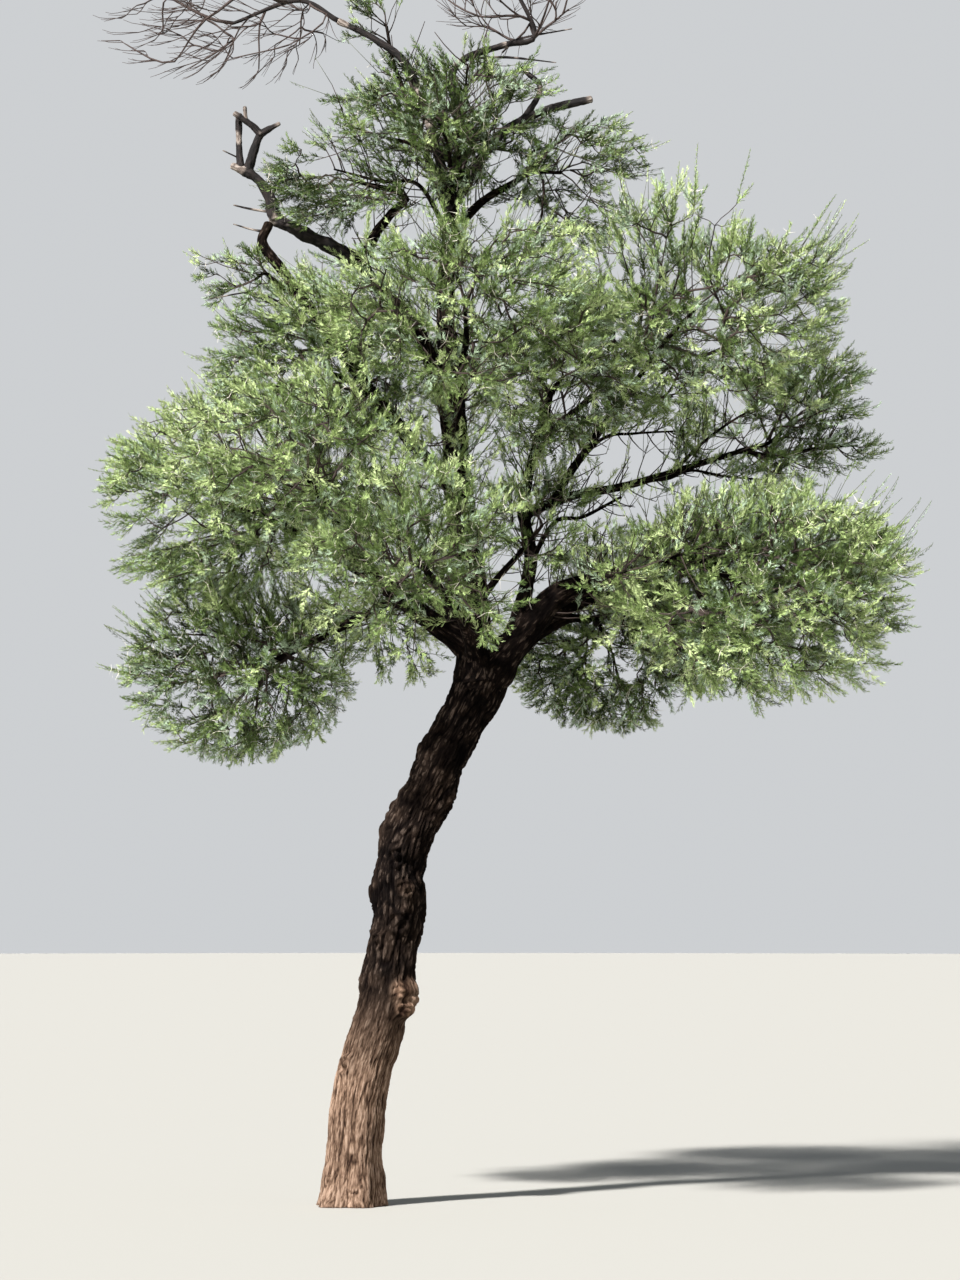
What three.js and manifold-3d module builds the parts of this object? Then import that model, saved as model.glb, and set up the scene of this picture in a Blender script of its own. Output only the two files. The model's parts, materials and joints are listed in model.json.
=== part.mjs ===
// An acacia tree: a leaning trunk on a flat ground cut, the limbs that grow from it, the dead wood
// in its top, and the masses of foliage at the limbs' tips.
// Millimetres, +Z up. The origin is the middle of the trunk's foot, on the ground. +X runs along
// the side that the trunk leans to, and -Y faces the viewer.
import * as THREE from "three";
import { mergeVertices } from "three/addons/utils/BufferGeometryUtils.js";
import Module from "manifold-3d";

const wasm = await Module();
wasm.setup();

// Driving dimensions
const jointGap = 0.3; // between a limb and what carries it
const limbStep = 230; // length of one straight piece of a bent limb
const rootCollar = 1.22; // how much thicker a limb is where it leaves its parent
const flareReach = 130; // height over which the root flare dies away
const flareGain = 0.26; // how much wider the foot is than the trunk above it
const sprayLength = 520; // one blade stands for a leafy spray, and this is what most come near to
const shortestSpray = 200;
const longestSpray = 760;
const sprayShape = 0.52; // width of a spray against its length
const sprayThickness = 11;
const rootStep = 50; // from one possible spray root to the next, along a twig
const crossShare = 0.3; // share of their half widths that keeps the midribs of sprays apart
const twigRadius = 5.5; // of a twig with a single spray
const twigSides = 3;
const stemSides = 5;
const twigInset = 260; // twigs end this far inside a mass, and sprays go on to its surface
const innerShare = 0.8; // no spray ends nearer to the middle of a mass than this share of its size
const spaceMargin = 3; // between a mass and the next one's space
const limbMargin = 6; // between foliage and the limbs that pass through it

const barkColour = new THREE.Color(0.2, 0.165, 0.14);
const deadColour = new THREE.Color(0.3, 0.26, 0.23);
const leafColour = new THREE.Color(0.29, 0.4, 0.16);
const bareTwigColour = new THREE.Color(0.26, 0.2, 0.18);

const at = (x, y, z) => new THREE.Vector3(x, y, z);

// Each limb leaves its parent at a share of the parent's length, passes through the bends in via
// and ends at tip. foot and end are its radii there.
const limbs = {
  trunk: { from: at(-6, 0, -160), via: [at(0, 0, 60), at(40, 0, 560), at(150, -5, 960), at(222, -4, 1400),
    at(275, 0, 1800)], tip: at(650, 0, 2610), foot: 137, end: 128, sides: 12, step: 190 },
  leader: { parent: "trunk", share: 0.985, via: [at(560, 0, 3200), at(500, 30, 3900), at(462, 0, 4480)],
    tip: at(513, 0, 5110), foot: 98, end: 28, sides: 9 },
  right_main_bough: { parent: "trunk", share: 0.965, via: [at(880, -30, 2850), at(1060, -60, 3020)],
    tip: at(1420, -110, 3100), foot: 92, end: 42, sides: 9 },
  low_right_bough: { parent: "right_main_bough", share: 0.2, via: [at(1040, 130, 2880)],
    tip: at(1180, 420, 2900), foot: 32, end: 18 },
  upright_bough: { parent: "right_main_bough", share: 0.25, via: [at(880, -20, 3150), at(850, -10, 3480)],
    tip: at(960, -190, 3900), foot: 42, end: 20, sides: 8 },
  long_right_bough: { parent: "upright_bough", share: 0.56, via: [at(1090, 10, 3495), at(1390, 20, 3555)],
    tip: at(1960, 30, 3730), foot: 26, end: 13 },
  right_upper_bough: { parent: "long_right_bough", share: 0.14, via: [at(1080, -30, 3610)],
    tip: at(1400, -110, 4050), foot: 22, end: 15 },
  upper_back_bough: { parent: "upright_bough", share: 0.62, via: [at(930, 170, 3760)],
    tip: at(1180, 480, 4020), foot: 24, end: 16 },
  right_back_bough: { parent: "right_main_bough", share: 0.42, via: [at(1160, 260, 2990)],
    tip: at(1400, 760, 3060), foot: 40, end: 22 },
  inner_bough: { parent: "leader", share: 0.14, via: [at(700, -90, 3060)],
    tip: at(800, -130, 3170), foot: 20, end: 15 },
  left_low_bough: { parent: "leader", share: 0.06, via: [at(380, -40, 2880), at(60, -40, 3120)],
    tip: at(-330, 0, 3340), foot: 60, end: 28, sides: 8 },
  left_lower_bough: { parent: "left_low_bough", share: 0.4, via: [at(20, 120, 2890)],
    tip: at(-280, 140, 2740), foot: 30, end: 19 },
  left_front_bough: { parent: "left_low_bough", share: 0.3, via: [at(120, -340, 3090)],
    tip: at(-60, -660, 3330), foot: 32, end: 20 },
  left_back_bough: { parent: "left_low_bough", share: 0.58, via: [at(-30, 240, 3290)],
    tip: at(-160, 520, 3520), foot: 30, end: 19 },
  left_mid_bough: { parent: "leader", share: 0.36, via: [at(330, -30, 3720)],
    tip: at(70, -40, 3980), foot: 36, end: 20 },
  low_front_bough: { parent: "leader", share: 0.03, via: [at(560, -330, 2850)],
    tip: at(430, -800, 3000), foot: 46, end: 22 },
  low_back_bough: { parent: "leader", share: 0.08, via: [at(480, 330, 2930)],
    tip: at(300, 820, 3080), foot: 44, end: 22 },
  front_mid_bough: { parent: "leader", share: 0.42, via: [at(520, -200, 3900)],
    tip: at(550, -430, 4110), foot: 30, end: 20 },
  back_mid_bough: { parent: "leader", share: 0.47, via: [at(540, 210, 4010)],
    tip: at(600, 430, 4190), foot: 30, end: 20 },
  knot_bough: { parent: "leader", share: 0.5, via: [at(330, -60, 4290), at(120, -50, 4530)],
    tip: at(13, -30, 4675), foot: 42, end: 34 },
  tower_left_bough: { parent: "knot_bough", share: 0.93, via: [at(112, -20, 4788)],
    tip: at(196, -20, 4900), foot: 30, end: 22 },
  tower_right_bough: { parent: "leader", share: 0.87, via: [at(640, 30, 4960)],
    tip: at(800, 60, 5060), foot: 24, end: 17 },
  hooked_bough: { parent: "left_mid_bough", share: 0.5, via: [at(60, -210, 4040), at(-200, -160, 4400),
    at(-345, -140, 4600), at(-440, -130, 4730)], tip: at(-412, -110, 4828), foot: 32, end: 26 },
  shoulder_bough: { parent: "hooked_bough", share: 0.62, via: [],
    tip: at(-400, -170, 4560), foot: 16, end: 11 },
  dead_arm_left: { parent: "leader", share: 0.92, via: [at(425, -75, 5180), at(285, -70, 5600),
    at(118, -50, 5755)], tip: at(-69, -30, 5854), foot: 27, end: 15, dead: true },
  dead_arm_right: { parent: "leader", share: 0.9, via: [at(530, 85, 5080), at(550, 115, 5300),
    at(490, 110, 5580), at(561, 90, 5690)], tip: at(765, 70, 5757), foot: 26, end: 16, dead: true },
  spire_bough: { parent: "leader", share: 0.9, via: [at(380, 100, 5160)],
    tip: at(240, 90, 5560), foot: 22, end: 12 },
  broken_stub: { parent: "leader", share: 0.94, via: [at(705, -20, 5262), at(935, 0, 5405)],
    tip: at(1182, 0, 5469), foot: 25, end: 19, dead: true, step: 110 },
  stub_riser: { parent: "broken_stub", share: 0.61, via: [at(931, 0, 5520)],
    tip: at(856, 0, 5612), foot: 17, end: 11, dead: true, step: 90 },
  twisted_arm_lower: { parent: "knot_bough", share: 0.985, via: [at(-146, -10, 4750)],
    tip: at(-392, 0, 4874), foot: 35, end: 31, dead: true, step: 120 },
  twisted_arm_upper: { parent: "twisted_arm_lower", share: 0.97, via: [at(-415, 0, 4985), at(-486, 0, 5082)],
    tip: at(-596, 0, 5136), foot: 30, end: 19, dead: true, step: 80 },
  prong_left: { parent: "twisted_arm_upper", share: 0.88, via: [at(-565, 14, 5240)],
    tip: at(-566, 20, 5396), foot: 18, end: 15, dead: true, step: 110 },
  prong_right: { parent: "twisted_arm_upper", share: 0.78, via: [at(-486, -10, 5225), at(-452, -20, 5292)],
    tip: at(-365, -20, 5344), foot: 22, end: 12, dead: true, step: 80 },
  prong_bar: { parent: "prong_right", share: 0.66, via: [at(-505, -28, 5338)],
    tip: at(-584, -36, 5392), foot: 17, end: 14, dead: true, step: 90 },
};

// Each mass of foliage: the limb at whose tip its stem begins, its middle, its half sizes, how many
// twigs it has and how many sprays are tried on them. A bare mass is dead twigs.
const masses = {
  crown_top: { limb: "leader", middle: at(500, 0, 5390),
    size: at(660, 580, 430), ends: 8, sprays: 36 },
  tower_right: { limb: "tower_right_bough", middle: at(1060, 60, 5110),
    size: at(410, 440, 390), ends: 4, sprays: 16 },
  tower_left: { limb: "tower_left_bough", middle: at(-20, -60, 5060),
    size: at(470, 480, 300), ends: 5, sprays: 19 },
  top_spire: { limb: "spire_bough", middle: at(160, 90, 5880),
    size: at(240, 240, 270), ends: 2, sprays: 7 },
  left_shoulder: { limb: "shoulder_bough", middle: at(-480, -190, 4540),
    size: at(290, 280, 200), ends: 2, sprays: 8 },
  mid_front: { limb: "front_mid_bough", middle: at(560, -740, 4370),
    size: at(760, 600, 500), ends: 6, sprays: 25 },
  mid_back: { limb: "back_mid_bough", middle: at(620, 780, 4430),
    size: at(760, 640, 520), ends: 6, sprays: 21 },
  mid_left: { limb: "left_mid_bough", middle: at(-150, -40, 4120),
    size: at(580, 740, 520), ends: 6, sprays: 28 },
  right_upper: { limb: "right_upper_bough", middle: at(1740, -260, 4450),
    size: at(680, 760, 600), ends: 7, sprays: 33 },
  right_upper_back: { limb: "upper_back_bough", middle: at(1430, 860, 4240),
    size: at(650, 600, 500), ends: 5, sprays: 22 },
  upper_heart: { limb: "upright_bough", middle: at(1050, -310, 4070),
    size: at(450, 560, 460), ends: 4, sprays: 17 },
  right_far: { limb: "long_right_bough", middle: at(2200, 60, 3900),
    size: at(510, 570, 350), ends: 5, sprays: 21 },
  inner_tuft: { limb: "inner_bough", middle: at(950, -190, 3350),
    size: at(380, 340, 280), ends: 3, sprays: 10 },
  right_low: { limb: "right_main_bough", middle: at(2050, -340, 2980),
    size: at(860, 900, 550), ends: 8, sprays: 38 },
  right_under: { limb: "low_right_bough", middle: at(1310, 540, 2730),
    size: at(580, 480, 380), ends: 4, sprays: 15 },
  right_back: { limb: "right_back_bough", middle: at(1680, 1250, 3060),
    size: at(680, 580, 450), ends: 6, sprays: 21 },
  left_outer: { limb: "left_low_bough", middle: at(-700, -20, 3470),
    size: at(640, 770, 510), ends: 7, sprays: 27 },
  left_lower: { limb: "left_lower_bough", middle: at(-570, 120, 2640),
    size: at(580, 660, 460), ends: 5, sprays: 20 },
  left_front: { limb: "left_front_bough", middle: at(-220, -960, 3550),
    size: at(620, 500, 510), ends: 5, sprays: 21 },
  left_back: { limb: "left_back_bough", middle: at(-300, 940, 3710),
    size: at(640, 580, 520), ends: 5, sprays: 20 },
  low_front: { limb: "low_front_bough", middle: at(340, -1260, 3090),
    size: at(570, 560, 490), ends: 5, sprays: 19 },
  low_back: { limb: "low_back_bough", middle: at(150, 1340, 3130),
    size: at(590, 580, 520), ends: 5, sprays: 20 },
  bare_left: { limb: "dead_arm_left", middle: at(-650, 0, 5830),
    size: at(630, 380, 290), ends: 14, bare: true },
  bare_top: { limb: "dead_arm_right", middle: at(760, 60, 6130),
    size: at(420, 360, 440), ends: 12, bare: true },
};

// A number from 0 to 1 that is always the same for the same pair of whole numbers.
function chance(key, draw) {
  let h = Math.imul(key ^ Math.imul(draw + 1, 0x9e3779b1), 0x85ebca6b);
  h ^= h >>> 13;
  h = Math.imul(h, 0xc2b2ae35);
  h ^= h >>> 16;
  return (h >>> 0) / 4294967296;
}

// A closed three.js geometry as a manifold-3d solid.
function solidOf(geometry) {
  const bare = geometry.clone();
  bare.deleteAttribute("normal");
  bare.deleteAttribute("uv");
  const merged = mergeVertices(bare, 1e-4);
  return new wasm.Manifold(new wasm.Mesh({
    numProp: 3,
    vertProperties: merged.attributes.position.array,
    triVerts: new Uint32Array(merged.index.array),
  }));
}

// A manifold-3d solid as a three.js geometry.
function geometryOf(solid) {
  const mesh = solid.getMesh();
  const geometry = new THREE.BufferGeometry();
  geometry.setAttribute("position", new THREE.BufferAttribute(mesh.vertProperties, 3));
  geometry.setIndex(new THREE.BufferAttribute(mesh.triVerts, 1));
  geometry.computeVertexNormals();
  return geometry;
}

// The largest of the bodies that a solid falls into, so that loose scraps are dropped.
function largestBody(solid) {
  const bodies = solid.decompose();
  return bodies.reduce((best, body) => (body.volume() > best.volume() ? body : best));
}

// A cylinder bent along a curve, with a radius worked out for each share of its length. It can be
// made larger all round by an extra width.
function bentRod(path, sides, rings, radiusAt, extra = 0) {
  const rod = new THREE.CylinderGeometry(1, 1, 1, sides, rings);
  const frames = path.computeFrenetFrames(rings, false);
  const spot = rod.attributes.position;
  for (let i = 0; i < spot.count; i++) {
    const ring = Math.round((spot.getY(i) + 0.5) * rings);
    const share = ring / rings;
    const radius = radiusAt(share) + extra;
    const past = extra * ((ring === rings) - (ring === 0));
    const place = path.getPointAt(share)
      .addScaledVector(path.getTangentAt(share), past)
      .addScaledVector(frames.normals[ring], spot.getZ(i) * radius)
      .addScaledVector(frames.binormals[ring], spot.getX(i) * radius);
    spot.setXYZ(i, place.x, place.y, place.z);
  }
  return solidOf(rod);
}

// A limb's centre line, through its parent's axis, its bends and its tip.
function limbPath(limb) {
  const start = limb.from ?? limbs[limb.parent].path.getPointAt(limb.share);
  return new THREE.CatmullRomCurve3([start, ...limb.via, limb.tip], false, "catmullrom", 0.5);
}

// A limb tapers evenly from its collar to its end. The trunk flares at the ground instead.
function limbRadius(name, share) {
  const limb = limbs[name];
  const even = limb.foot + (limb.end - limb.foot) * share;
  if (name === "trunk") {
    const height = Math.max(limb.path.getPointAt(share).z, 0);
    return even * (1 + flareGain * Math.exp(-height / flareReach));
  }
  const collar = Math.exp((-share * limb.path.getLength()) / (2 * limb.foot));
  return even * (1 + (rootCollar - 1) * collar);
}

function limbRod(name, extra) {
  const limb = limbs[name];
  const rings = Math.max(3, Math.round(limb.path.getLength() / (limb.step ?? limbStep)));
  return bentRod(limb.path, limb.sides ?? 6, rings, (share) => limbRadius(name, share), extra);
}

// The rounded scar of a lost bough, on the side of the trunk.
function trunkBoss({ share, turn, size }) {
  const { path } = limbs.trunk;
  const radius = limbRadius("trunk", share);
  const out = at(Math.cos(turn), Math.sin(turn), 0.12).normalize();
  const boss = new THREE.SphereGeometry(1, 8, 5);
  boss.scale(size.x, size.y, size.z);
  boss.rotateZ(turn);
  const place = path.getPointAt(share).addScaledVector(out, radius * 0.8);
  boss.translate(place.x, place.y, place.z);
  return solidOf(boss);
}

// Two scars: the large one 1 m up on the leaning side, and one further up that faces the viewer.
const trunkBosses = [
  { share: 0.413, turn: -0.62, size: at(66, 68, 108) },
  { share: 0.555, turn: -1.42, size: at(46, 66, 92) },
];

function trunkSolid() {
  const ground = new THREE.BoxGeometry(1200, 1200, 600);
  ground.translate(0, 0, -300);
  const bosses = trunkBosses.map(trunkBoss);
  return wasm.Manifold.union([limbRod("trunk", 0), ...bosses]).subtract(solidOf(ground));
}

// The gap between two solids' boxes is what makes a cut worth trying.
function boxesMeet(a, b) {
  const [p, q] = [a.boundingBox(), b.boundingBox()];
  return [0, 1, 2].every((k) => p.min[k] <= q.max[k] && q.min[k] <= p.max[k]);
}

// Every limb in turn, cut clear of the limbs made before it.
function limbSolids() {
  const solids = {};
  const grown = {};
  for (const name of Object.keys(limbs)) {
    limbs[name].path = limbPath(limbs[name]);
    let solid = name === "trunk" ? trunkSolid() : limbRod(name, 0);
    for (const cutter of Object.values(grown)) {
      if (boxesMeet(solid, cutter)) solid = solid.subtract(cutter);
    }
    solids[name] = largestBody(solid);
    grown[name] = limbRod(name, jointGap);
    if (name === "trunk") grown[name] = wasm.Manifold.union([grown[name], ...trunkBosses.map(trunkBoss)]);
  }
  return solids;
}

// A mass's stem leaves the limb's tip along the limb and bends to the middle of the mass.
function stemPath(mass) {
  const { path } = limbs[mass.limb];
  const along = path.getTangentAt(1);
  const foot = path.getPointAt(1).addScaledVector(along, jointGap);
  const bend = foot.clone().addScaledVector(along, foot.distanceTo(mass.middle) * 0.4);
  const head = mass.middle.clone().lerp(bend, 0.15);
  return new THREE.CatmullRomCurve3([foot, bend, head], false, "catmullrom", 0.5);
}

function stemRadius(mass, share) {
  const foot = limbs[mass.limb].end;
  return foot + (Math.max(foot * 0.45, twigRadius * 1.5) - foot) * share;
}

// The plane between two masses, at the share of the way where their surfaces would meet.
function planeBetween(mass, other) {
  const way = other.middle.clone().sub(mass.middle);
  const distance = way.length();
  way.normalize();
  const near = 1 / way.clone().divide(mass.size).length();
  const far = 1 / way.clone().divide(other.size).length();
  return { way, limit: (distance ** 2 + near ** 2 - far ** 2) / (2 * distance) };
}

// Whether a point lies in a mass's own space: its ellipsoid, on its side of every such plane.
function isInside(mass, point, margin) {
  const offset = point.clone().sub(mass.middle);
  const roundness = offset.clone().divide(mass.size).length();
  if (roundness > 1 - margin / Math.min(mass.size.x, mass.size.y, mass.size.z)) return false;
  return mass.planes.every(({ way, limit }) => offset.dot(way) < limit - margin);
}

// The least distance between the straight pieces a-b and c-d.
function gapBetween(a, b, c, d) {
  const u = b.clone().sub(a);
  const v = d.clone().sub(c);
  const w = a.clone().sub(c);
  const [uu, uv, vv, uw, vw] = [u.dot(u), u.dot(v), v.dot(v), u.dot(w), v.dot(w)];
  const clamp = THREE.MathUtils.clamp;
  const across = uu * vv - uv * uv;
  let s = across > 1e-6 ? clamp((uv * vw - vv * uw) / across, 0, 1) : 0;
  const t = clamp((uv * s + vw) / vv, 0, 1);
  s = clamp((uv * t - uw) / uu, 0, 1);
  return w.addScaledVector(u, s).addScaledVector(v, -t).length();
}

// A bent limb or stem as straight pieces, for measuring how near foliage comes to it.
function straightPieces(owner, path, radiusAt) {
  const count = Math.max(3, Math.round(path.getLength() / 90));
  return Array.from({ length: count }, (_, i) => ({
    owner,
    a: path.getPointAt(i / count),
    b: path.getPointAt((i + 1) / count),
    radius: radiusAt(i / count),
  }));
}

function isClear(obstacles, a, b, halfWidth) {
  const margin = halfWidth + limbMargin;
  return obstacles.every((piece) => gapBetween(a, b, piece.a, piece.b) > piece.radius + margin);
}

// Where a mass's twigs end: points spread evenly round its middle, those nearest its foot first.
// They keep so far inside its surface that the sprays on them reach it.
function twigEnds(mass, key, foot, obstacles) {
  const inset = mass.bare ? 10 : twigInset;
  const least = mass.size.clone().multiplyScalar(0.5);
  const region = mass.size.clone().subScalar(inset).max(least);
  const ends = [];
  for (let i = 0; i < mass.ends; i++) {
    const level = 1 - (2 * i + 1) / mass.ends;
    const turn = 2.4 * i + 6.28 * chance(key, 0);
    const ring = Math.sqrt(1 - level * level);
    const way = at(ring * Math.cos(turn), ring * Math.sin(turn), level).multiply(region);
    const depth = 0.75 + 0.25 * chance(key, i + 1);
    for (const share of [depth, 0.85 * depth, 0.7 * depth]) {
      const place = way.clone().multiplyScalar(share).add(mass.middle);
      const beside = place.clone().addScalar(0.1);
      if (isInside(mass, place, spaceMargin + 30) && isClear(obstacles, place, beside, 40)) {
        ends.push(place);
        break;
      }
    }
  }
  return ends.sort((p, q) => p.distanceTo(foot) - q.distanceTo(foot));
}

// Grows a mass's twigs: each end is joined to the knot that it can be reached from most directly,
// and becomes a knot itself.
function growTwigs(mass, key, stem, obstacles) {
  const foot = stem.getPointAt(0);
  const knots = [0.3, 0.5, 0.7, 0.85, 1].map((share) => ({
    place: stem.getPointAt(share), along: stem.getTangentAt(share), radius: stemRadius(mass, share),
  }));
  const twigs = [];
  for (const end of twigEnds(mass, key, foot, obstacles)) {
    let best = null;
    for (const knot of knots) {
      const way = end.clone().sub(knot.place);
      const length = way.length();
      const turn = 1 - way.normalize().dot(knot.along);
      const effort = length * (1 + 0.7 * turn) + 0.2 * knot.place.distanceTo(foot);
      if (length > 60 && (!best || effort < best.effort) && isInside(mass, knot.place, spaceMargin + 20)
        && isClear(obstacles, knot.place, end, 2 * twigRadius)) {
        best = { effort, knot, way };
      }
    }
    if (!best) continue;
    const twig = { from: best.knot.place, to: end, along: best.way, parent: best.knot.twig, sprays: 0 };
    twigs.push(twig);
    knots.push({ place: end, along: best.way, twig });
  }
  for (const twig of twigs) {
    for (let t = twig; t; t = t.parent) t.sprays++;
  }
  return twigs;
}

function twigSolid(twig) {
  const radius = twigRadius * Math.sqrt(twig.sprays);
  const length = twig.from.distanceTo(twig.to);
  const rod = new THREE.CylinderGeometry(radius * 0.75, radius, length, twigSides, 1);
  rod.translate(0, length / 2, 0);
  rod.applyQuaternion(new THREE.Quaternion().setFromUnitVectors(at(0, 1, 0), twig.along));
  rod.translate(twig.from.x, twig.from.y, twig.from.z);
  return solidOf(rod);
}

// A spray is a flat blade with a thick middle, pointed at both ends, its root inside its twig.
function sprayBlade(root, tip, up) {
  const along = tip.clone().sub(root);
  const length = along.length();
  along.normalize();
  const across = up.clone().cross(along).normalize();
  const half = (sprayShape * length) / 2;
  const middle = root.clone().lerp(tip, 0.5);
  const corners = [-half, half].map((side) => middle.clone().addScaledVector(across, side));
  const neck = root.clone().lerp(tip, 0.15);
  const radius = half * crossShare;
  return { root, tip, length, along, across, half, middle, corners, a: neck, b: tip, radius };
}

function spraySolid({ length, half, along, across, middle }) {
  const blade = new THREE.OctahedronGeometry(1);
  blade.scale(length / 2, half, sprayThickness / 2);
  const turn = new THREE.Matrix4().makeBasis(along, across, along.clone().cross(across));
  blade.applyMatrix4(turn.setPosition(middle));
  return solidOf(blade);
}

// Where a mass's sprays end: an even sequence of points between its surface and its heart.
function sprayTips(mass, key) {
  const tips = [];
  for (let i = 1; tips.length < mass.sprays && i < 20 * mass.sprays; i++) {
    const level = 2 * ((chance(key, 90) + 0.8191725134 * i) % 1) - 1;
    const turn = 2 * Math.PI * ((chance(key, 91) + 0.6710436067 * i) % 1);
    const depth = (chance(key, 92) + 0.5497004779 * i) % 1;
    const out = Math.cbrt(innerShare ** 3 + (1 - innerShare ** 3) * depth);
    const ring = Math.sqrt(1 - level * level);
    const place = at(ring * Math.cos(turn), ring * Math.sin(turn), level);
    place.multiply(mass.size).multiplyScalar(out).add(mass.middle);
    if (isInside(mass, place, spaceMargin + sprayThickness / 2)) tips.push(place);
  }
  return tips;
}

// Each spray springs from the point on the twigs that gives it the most usual length and leaves its
// twig at the least turn, if it keeps to the mass's space there and clear of limbs and other sprays.
function growSprays(mass, key, twigs, obstacles) {
  const roots = twigs.flatMap((twig) => {
    const length = twig.from.distanceTo(twig.to);
    const count = Math.max(1, Math.floor((length - 60) / rootStep));
    return Array.from({ length: count }, (_, i) => ({
      place: twig.to.clone().addScaledVector(twig.along, -20 - rootStep * i), along: twig.along, uses: 0,
    }));
  });
  const grown = [];
  sprayTips(mass, key).forEach((tip, i) => {
    const up = at(chance(key, 100 + i) - 0.5, chance(key, 400 + i) - 0.5, 0.55);
    const choices = roots.filter((root) => root.uses < 2).map((root) => {
      const way = tip.clone().sub(root.place);
      const length = way.length();
      const turn = 1 - way.normalize().dot(root.along);
      return { root, length, effort: Math.abs(length - sprayLength) + 260 * turn };
    }).filter(({ length }) => length > shortestSpray && length < longestSpray);
    choices.sort((p, q) => p.effort - q.effort);
    for (const { root } of choices.slice(0, 8)) {
      const blade = sprayBlade(root.place, tip, up);
      if (blade.corners.every((corner) => isInside(mass, corner, spaceMargin + sprayThickness / 2))
        && isClear(obstacles, root.place, tip, blade.half * 0.75)
        && isClear(grown, blade.a, tip, blade.radius)) {
        grown.push(blade);
        root.uses++;
        break;
      }
    }
  });
  return grown;
}

function massSolid(mass, key, stem, obstacles) {
  const twigs = growTwigs(mass, key, stem, obstacles);
  const sprays = mass.bare ? [] : growSprays(mass, key, twigs, obstacles);
  const rod = bentRod(stem, stemSides, 3, (share) => stemRadius(mass, share));
  return largestBody(wasm.Manifold.union([rod, ...twigs.map(twigSolid), ...sprays.map(spraySolid)]));
}

function massSolids() {
  const all = Object.entries(masses);
  for (const [, mass] of all) {
    mass.planes = all.filter(([, other]) => other !== mass).map(([, other]) => planeBetween(mass, other));
    mass.stem = stemPath(mass);
  }
  const pieces = [
    ...Object.entries(limbs).flatMap(([name, { path }]) => (
      straightPieces(name, path, (share) => limbRadius(name, share)))),
    ...all.flatMap(([name, mass]) => straightPieces(name, mass.stem, (share) => stemRadius(mass, share))),
  ];
  return Object.fromEntries(all.map(([name, mass], i) => {
    const obstacles = pieces.filter((piece) => piece.owner !== name);
    return [name, massSolid(mass, 1000 * (i + 1), mass.stem, obstacles)];
  }));
}

function material(colour, roughness) {
  return new THREE.MeshStandardMaterial({ color: colour, roughness, metalness: 0 });
}

const bark = material(barkColour, 0.92);
const deadWood = material(deadColour, 0.88);
const foliage = material(leafColour, 0.68);
const bareTwigs = material(bareTwigColour, 0.86);

const tree = new THREE.Group();
tree.name = "acacia_tree";

function addNode(name, solid, look) {
  const mesh = new THREE.Mesh(geometryOf(solid), look);
  mesh.name = name;
  tree.add(mesh);
}

for (const [name, solid] of Object.entries(limbSolids())) {
  addNode(name, solid, limbs[name].dead ? deadWood : bark);
}
for (const [name, solid] of Object.entries(massSolids())) {
  addNode(name, solid, masses[name].bare ? bareTwigs : foliage);
}

export default tree;
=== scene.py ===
import json
import math

import bpy
import numpy as np
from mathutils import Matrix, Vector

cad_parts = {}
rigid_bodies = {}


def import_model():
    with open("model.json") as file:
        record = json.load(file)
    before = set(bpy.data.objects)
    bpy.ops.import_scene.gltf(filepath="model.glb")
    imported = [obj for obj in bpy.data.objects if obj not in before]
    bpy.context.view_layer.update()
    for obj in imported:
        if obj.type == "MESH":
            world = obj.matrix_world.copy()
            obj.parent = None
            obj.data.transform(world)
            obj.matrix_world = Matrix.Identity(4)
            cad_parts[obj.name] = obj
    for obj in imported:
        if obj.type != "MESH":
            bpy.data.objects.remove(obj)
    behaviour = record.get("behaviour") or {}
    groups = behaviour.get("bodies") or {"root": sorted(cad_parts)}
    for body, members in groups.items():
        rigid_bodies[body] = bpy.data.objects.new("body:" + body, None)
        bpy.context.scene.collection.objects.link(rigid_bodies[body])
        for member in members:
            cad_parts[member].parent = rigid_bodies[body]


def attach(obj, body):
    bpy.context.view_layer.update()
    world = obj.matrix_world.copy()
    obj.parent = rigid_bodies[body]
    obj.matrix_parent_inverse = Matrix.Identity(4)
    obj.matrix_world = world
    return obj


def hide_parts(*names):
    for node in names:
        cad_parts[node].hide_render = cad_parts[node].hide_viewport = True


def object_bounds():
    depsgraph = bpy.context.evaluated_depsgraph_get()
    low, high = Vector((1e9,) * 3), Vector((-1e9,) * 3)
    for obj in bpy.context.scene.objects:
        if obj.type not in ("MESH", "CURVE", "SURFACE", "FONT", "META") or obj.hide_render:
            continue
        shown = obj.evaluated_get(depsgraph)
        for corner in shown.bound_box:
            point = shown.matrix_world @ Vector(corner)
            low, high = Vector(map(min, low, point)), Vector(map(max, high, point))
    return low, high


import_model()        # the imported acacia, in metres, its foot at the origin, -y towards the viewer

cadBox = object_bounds()     # the box of the solids, before any piece is made here
upward = np.array([0.0, 0.0, 1.0])


# Helpers: colours, nodes, meshes.

def linearColour(hexCode):
    # each part c of an sRGB colour: c / 12.92 where dark, else ((c + 0.055) / 1.055) to the power 2.4
    parts = [int(hexCode[i:i + 2], 16) / 255 for i in (1, 3, 5)]
    return [c / 12.92 if c <= 0.04045 else ((c + 0.055) / 1.055) ** 2.4 for c in parts] + [1.0]


def addNode(material, kind, settings=(), inputs=(), stops=()):
    # one node with its settings; each input is a number, a colour or another node's output socket
    node = material.node_tree.nodes.new(kind)
    for name, value in dict(settings).items():
        setattr(node, name, value)
    for name, value in dict(inputs).items():
        if isinstance(value, bpy.types.NodeSocket):
            material.node_tree.links.new(value, node.inputs[name])
        else:
            node.inputs[name].default_value = value
    for i, (place, hexCode) in enumerate(stops):      # of a colour ramp, in rising order
        stop = node.color_ramp.elements[i] if i < 2 else node.color_ramp.elements.new(place)
        stop.position = place
        stop.color = linearColour(hexCode)
    return node


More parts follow.
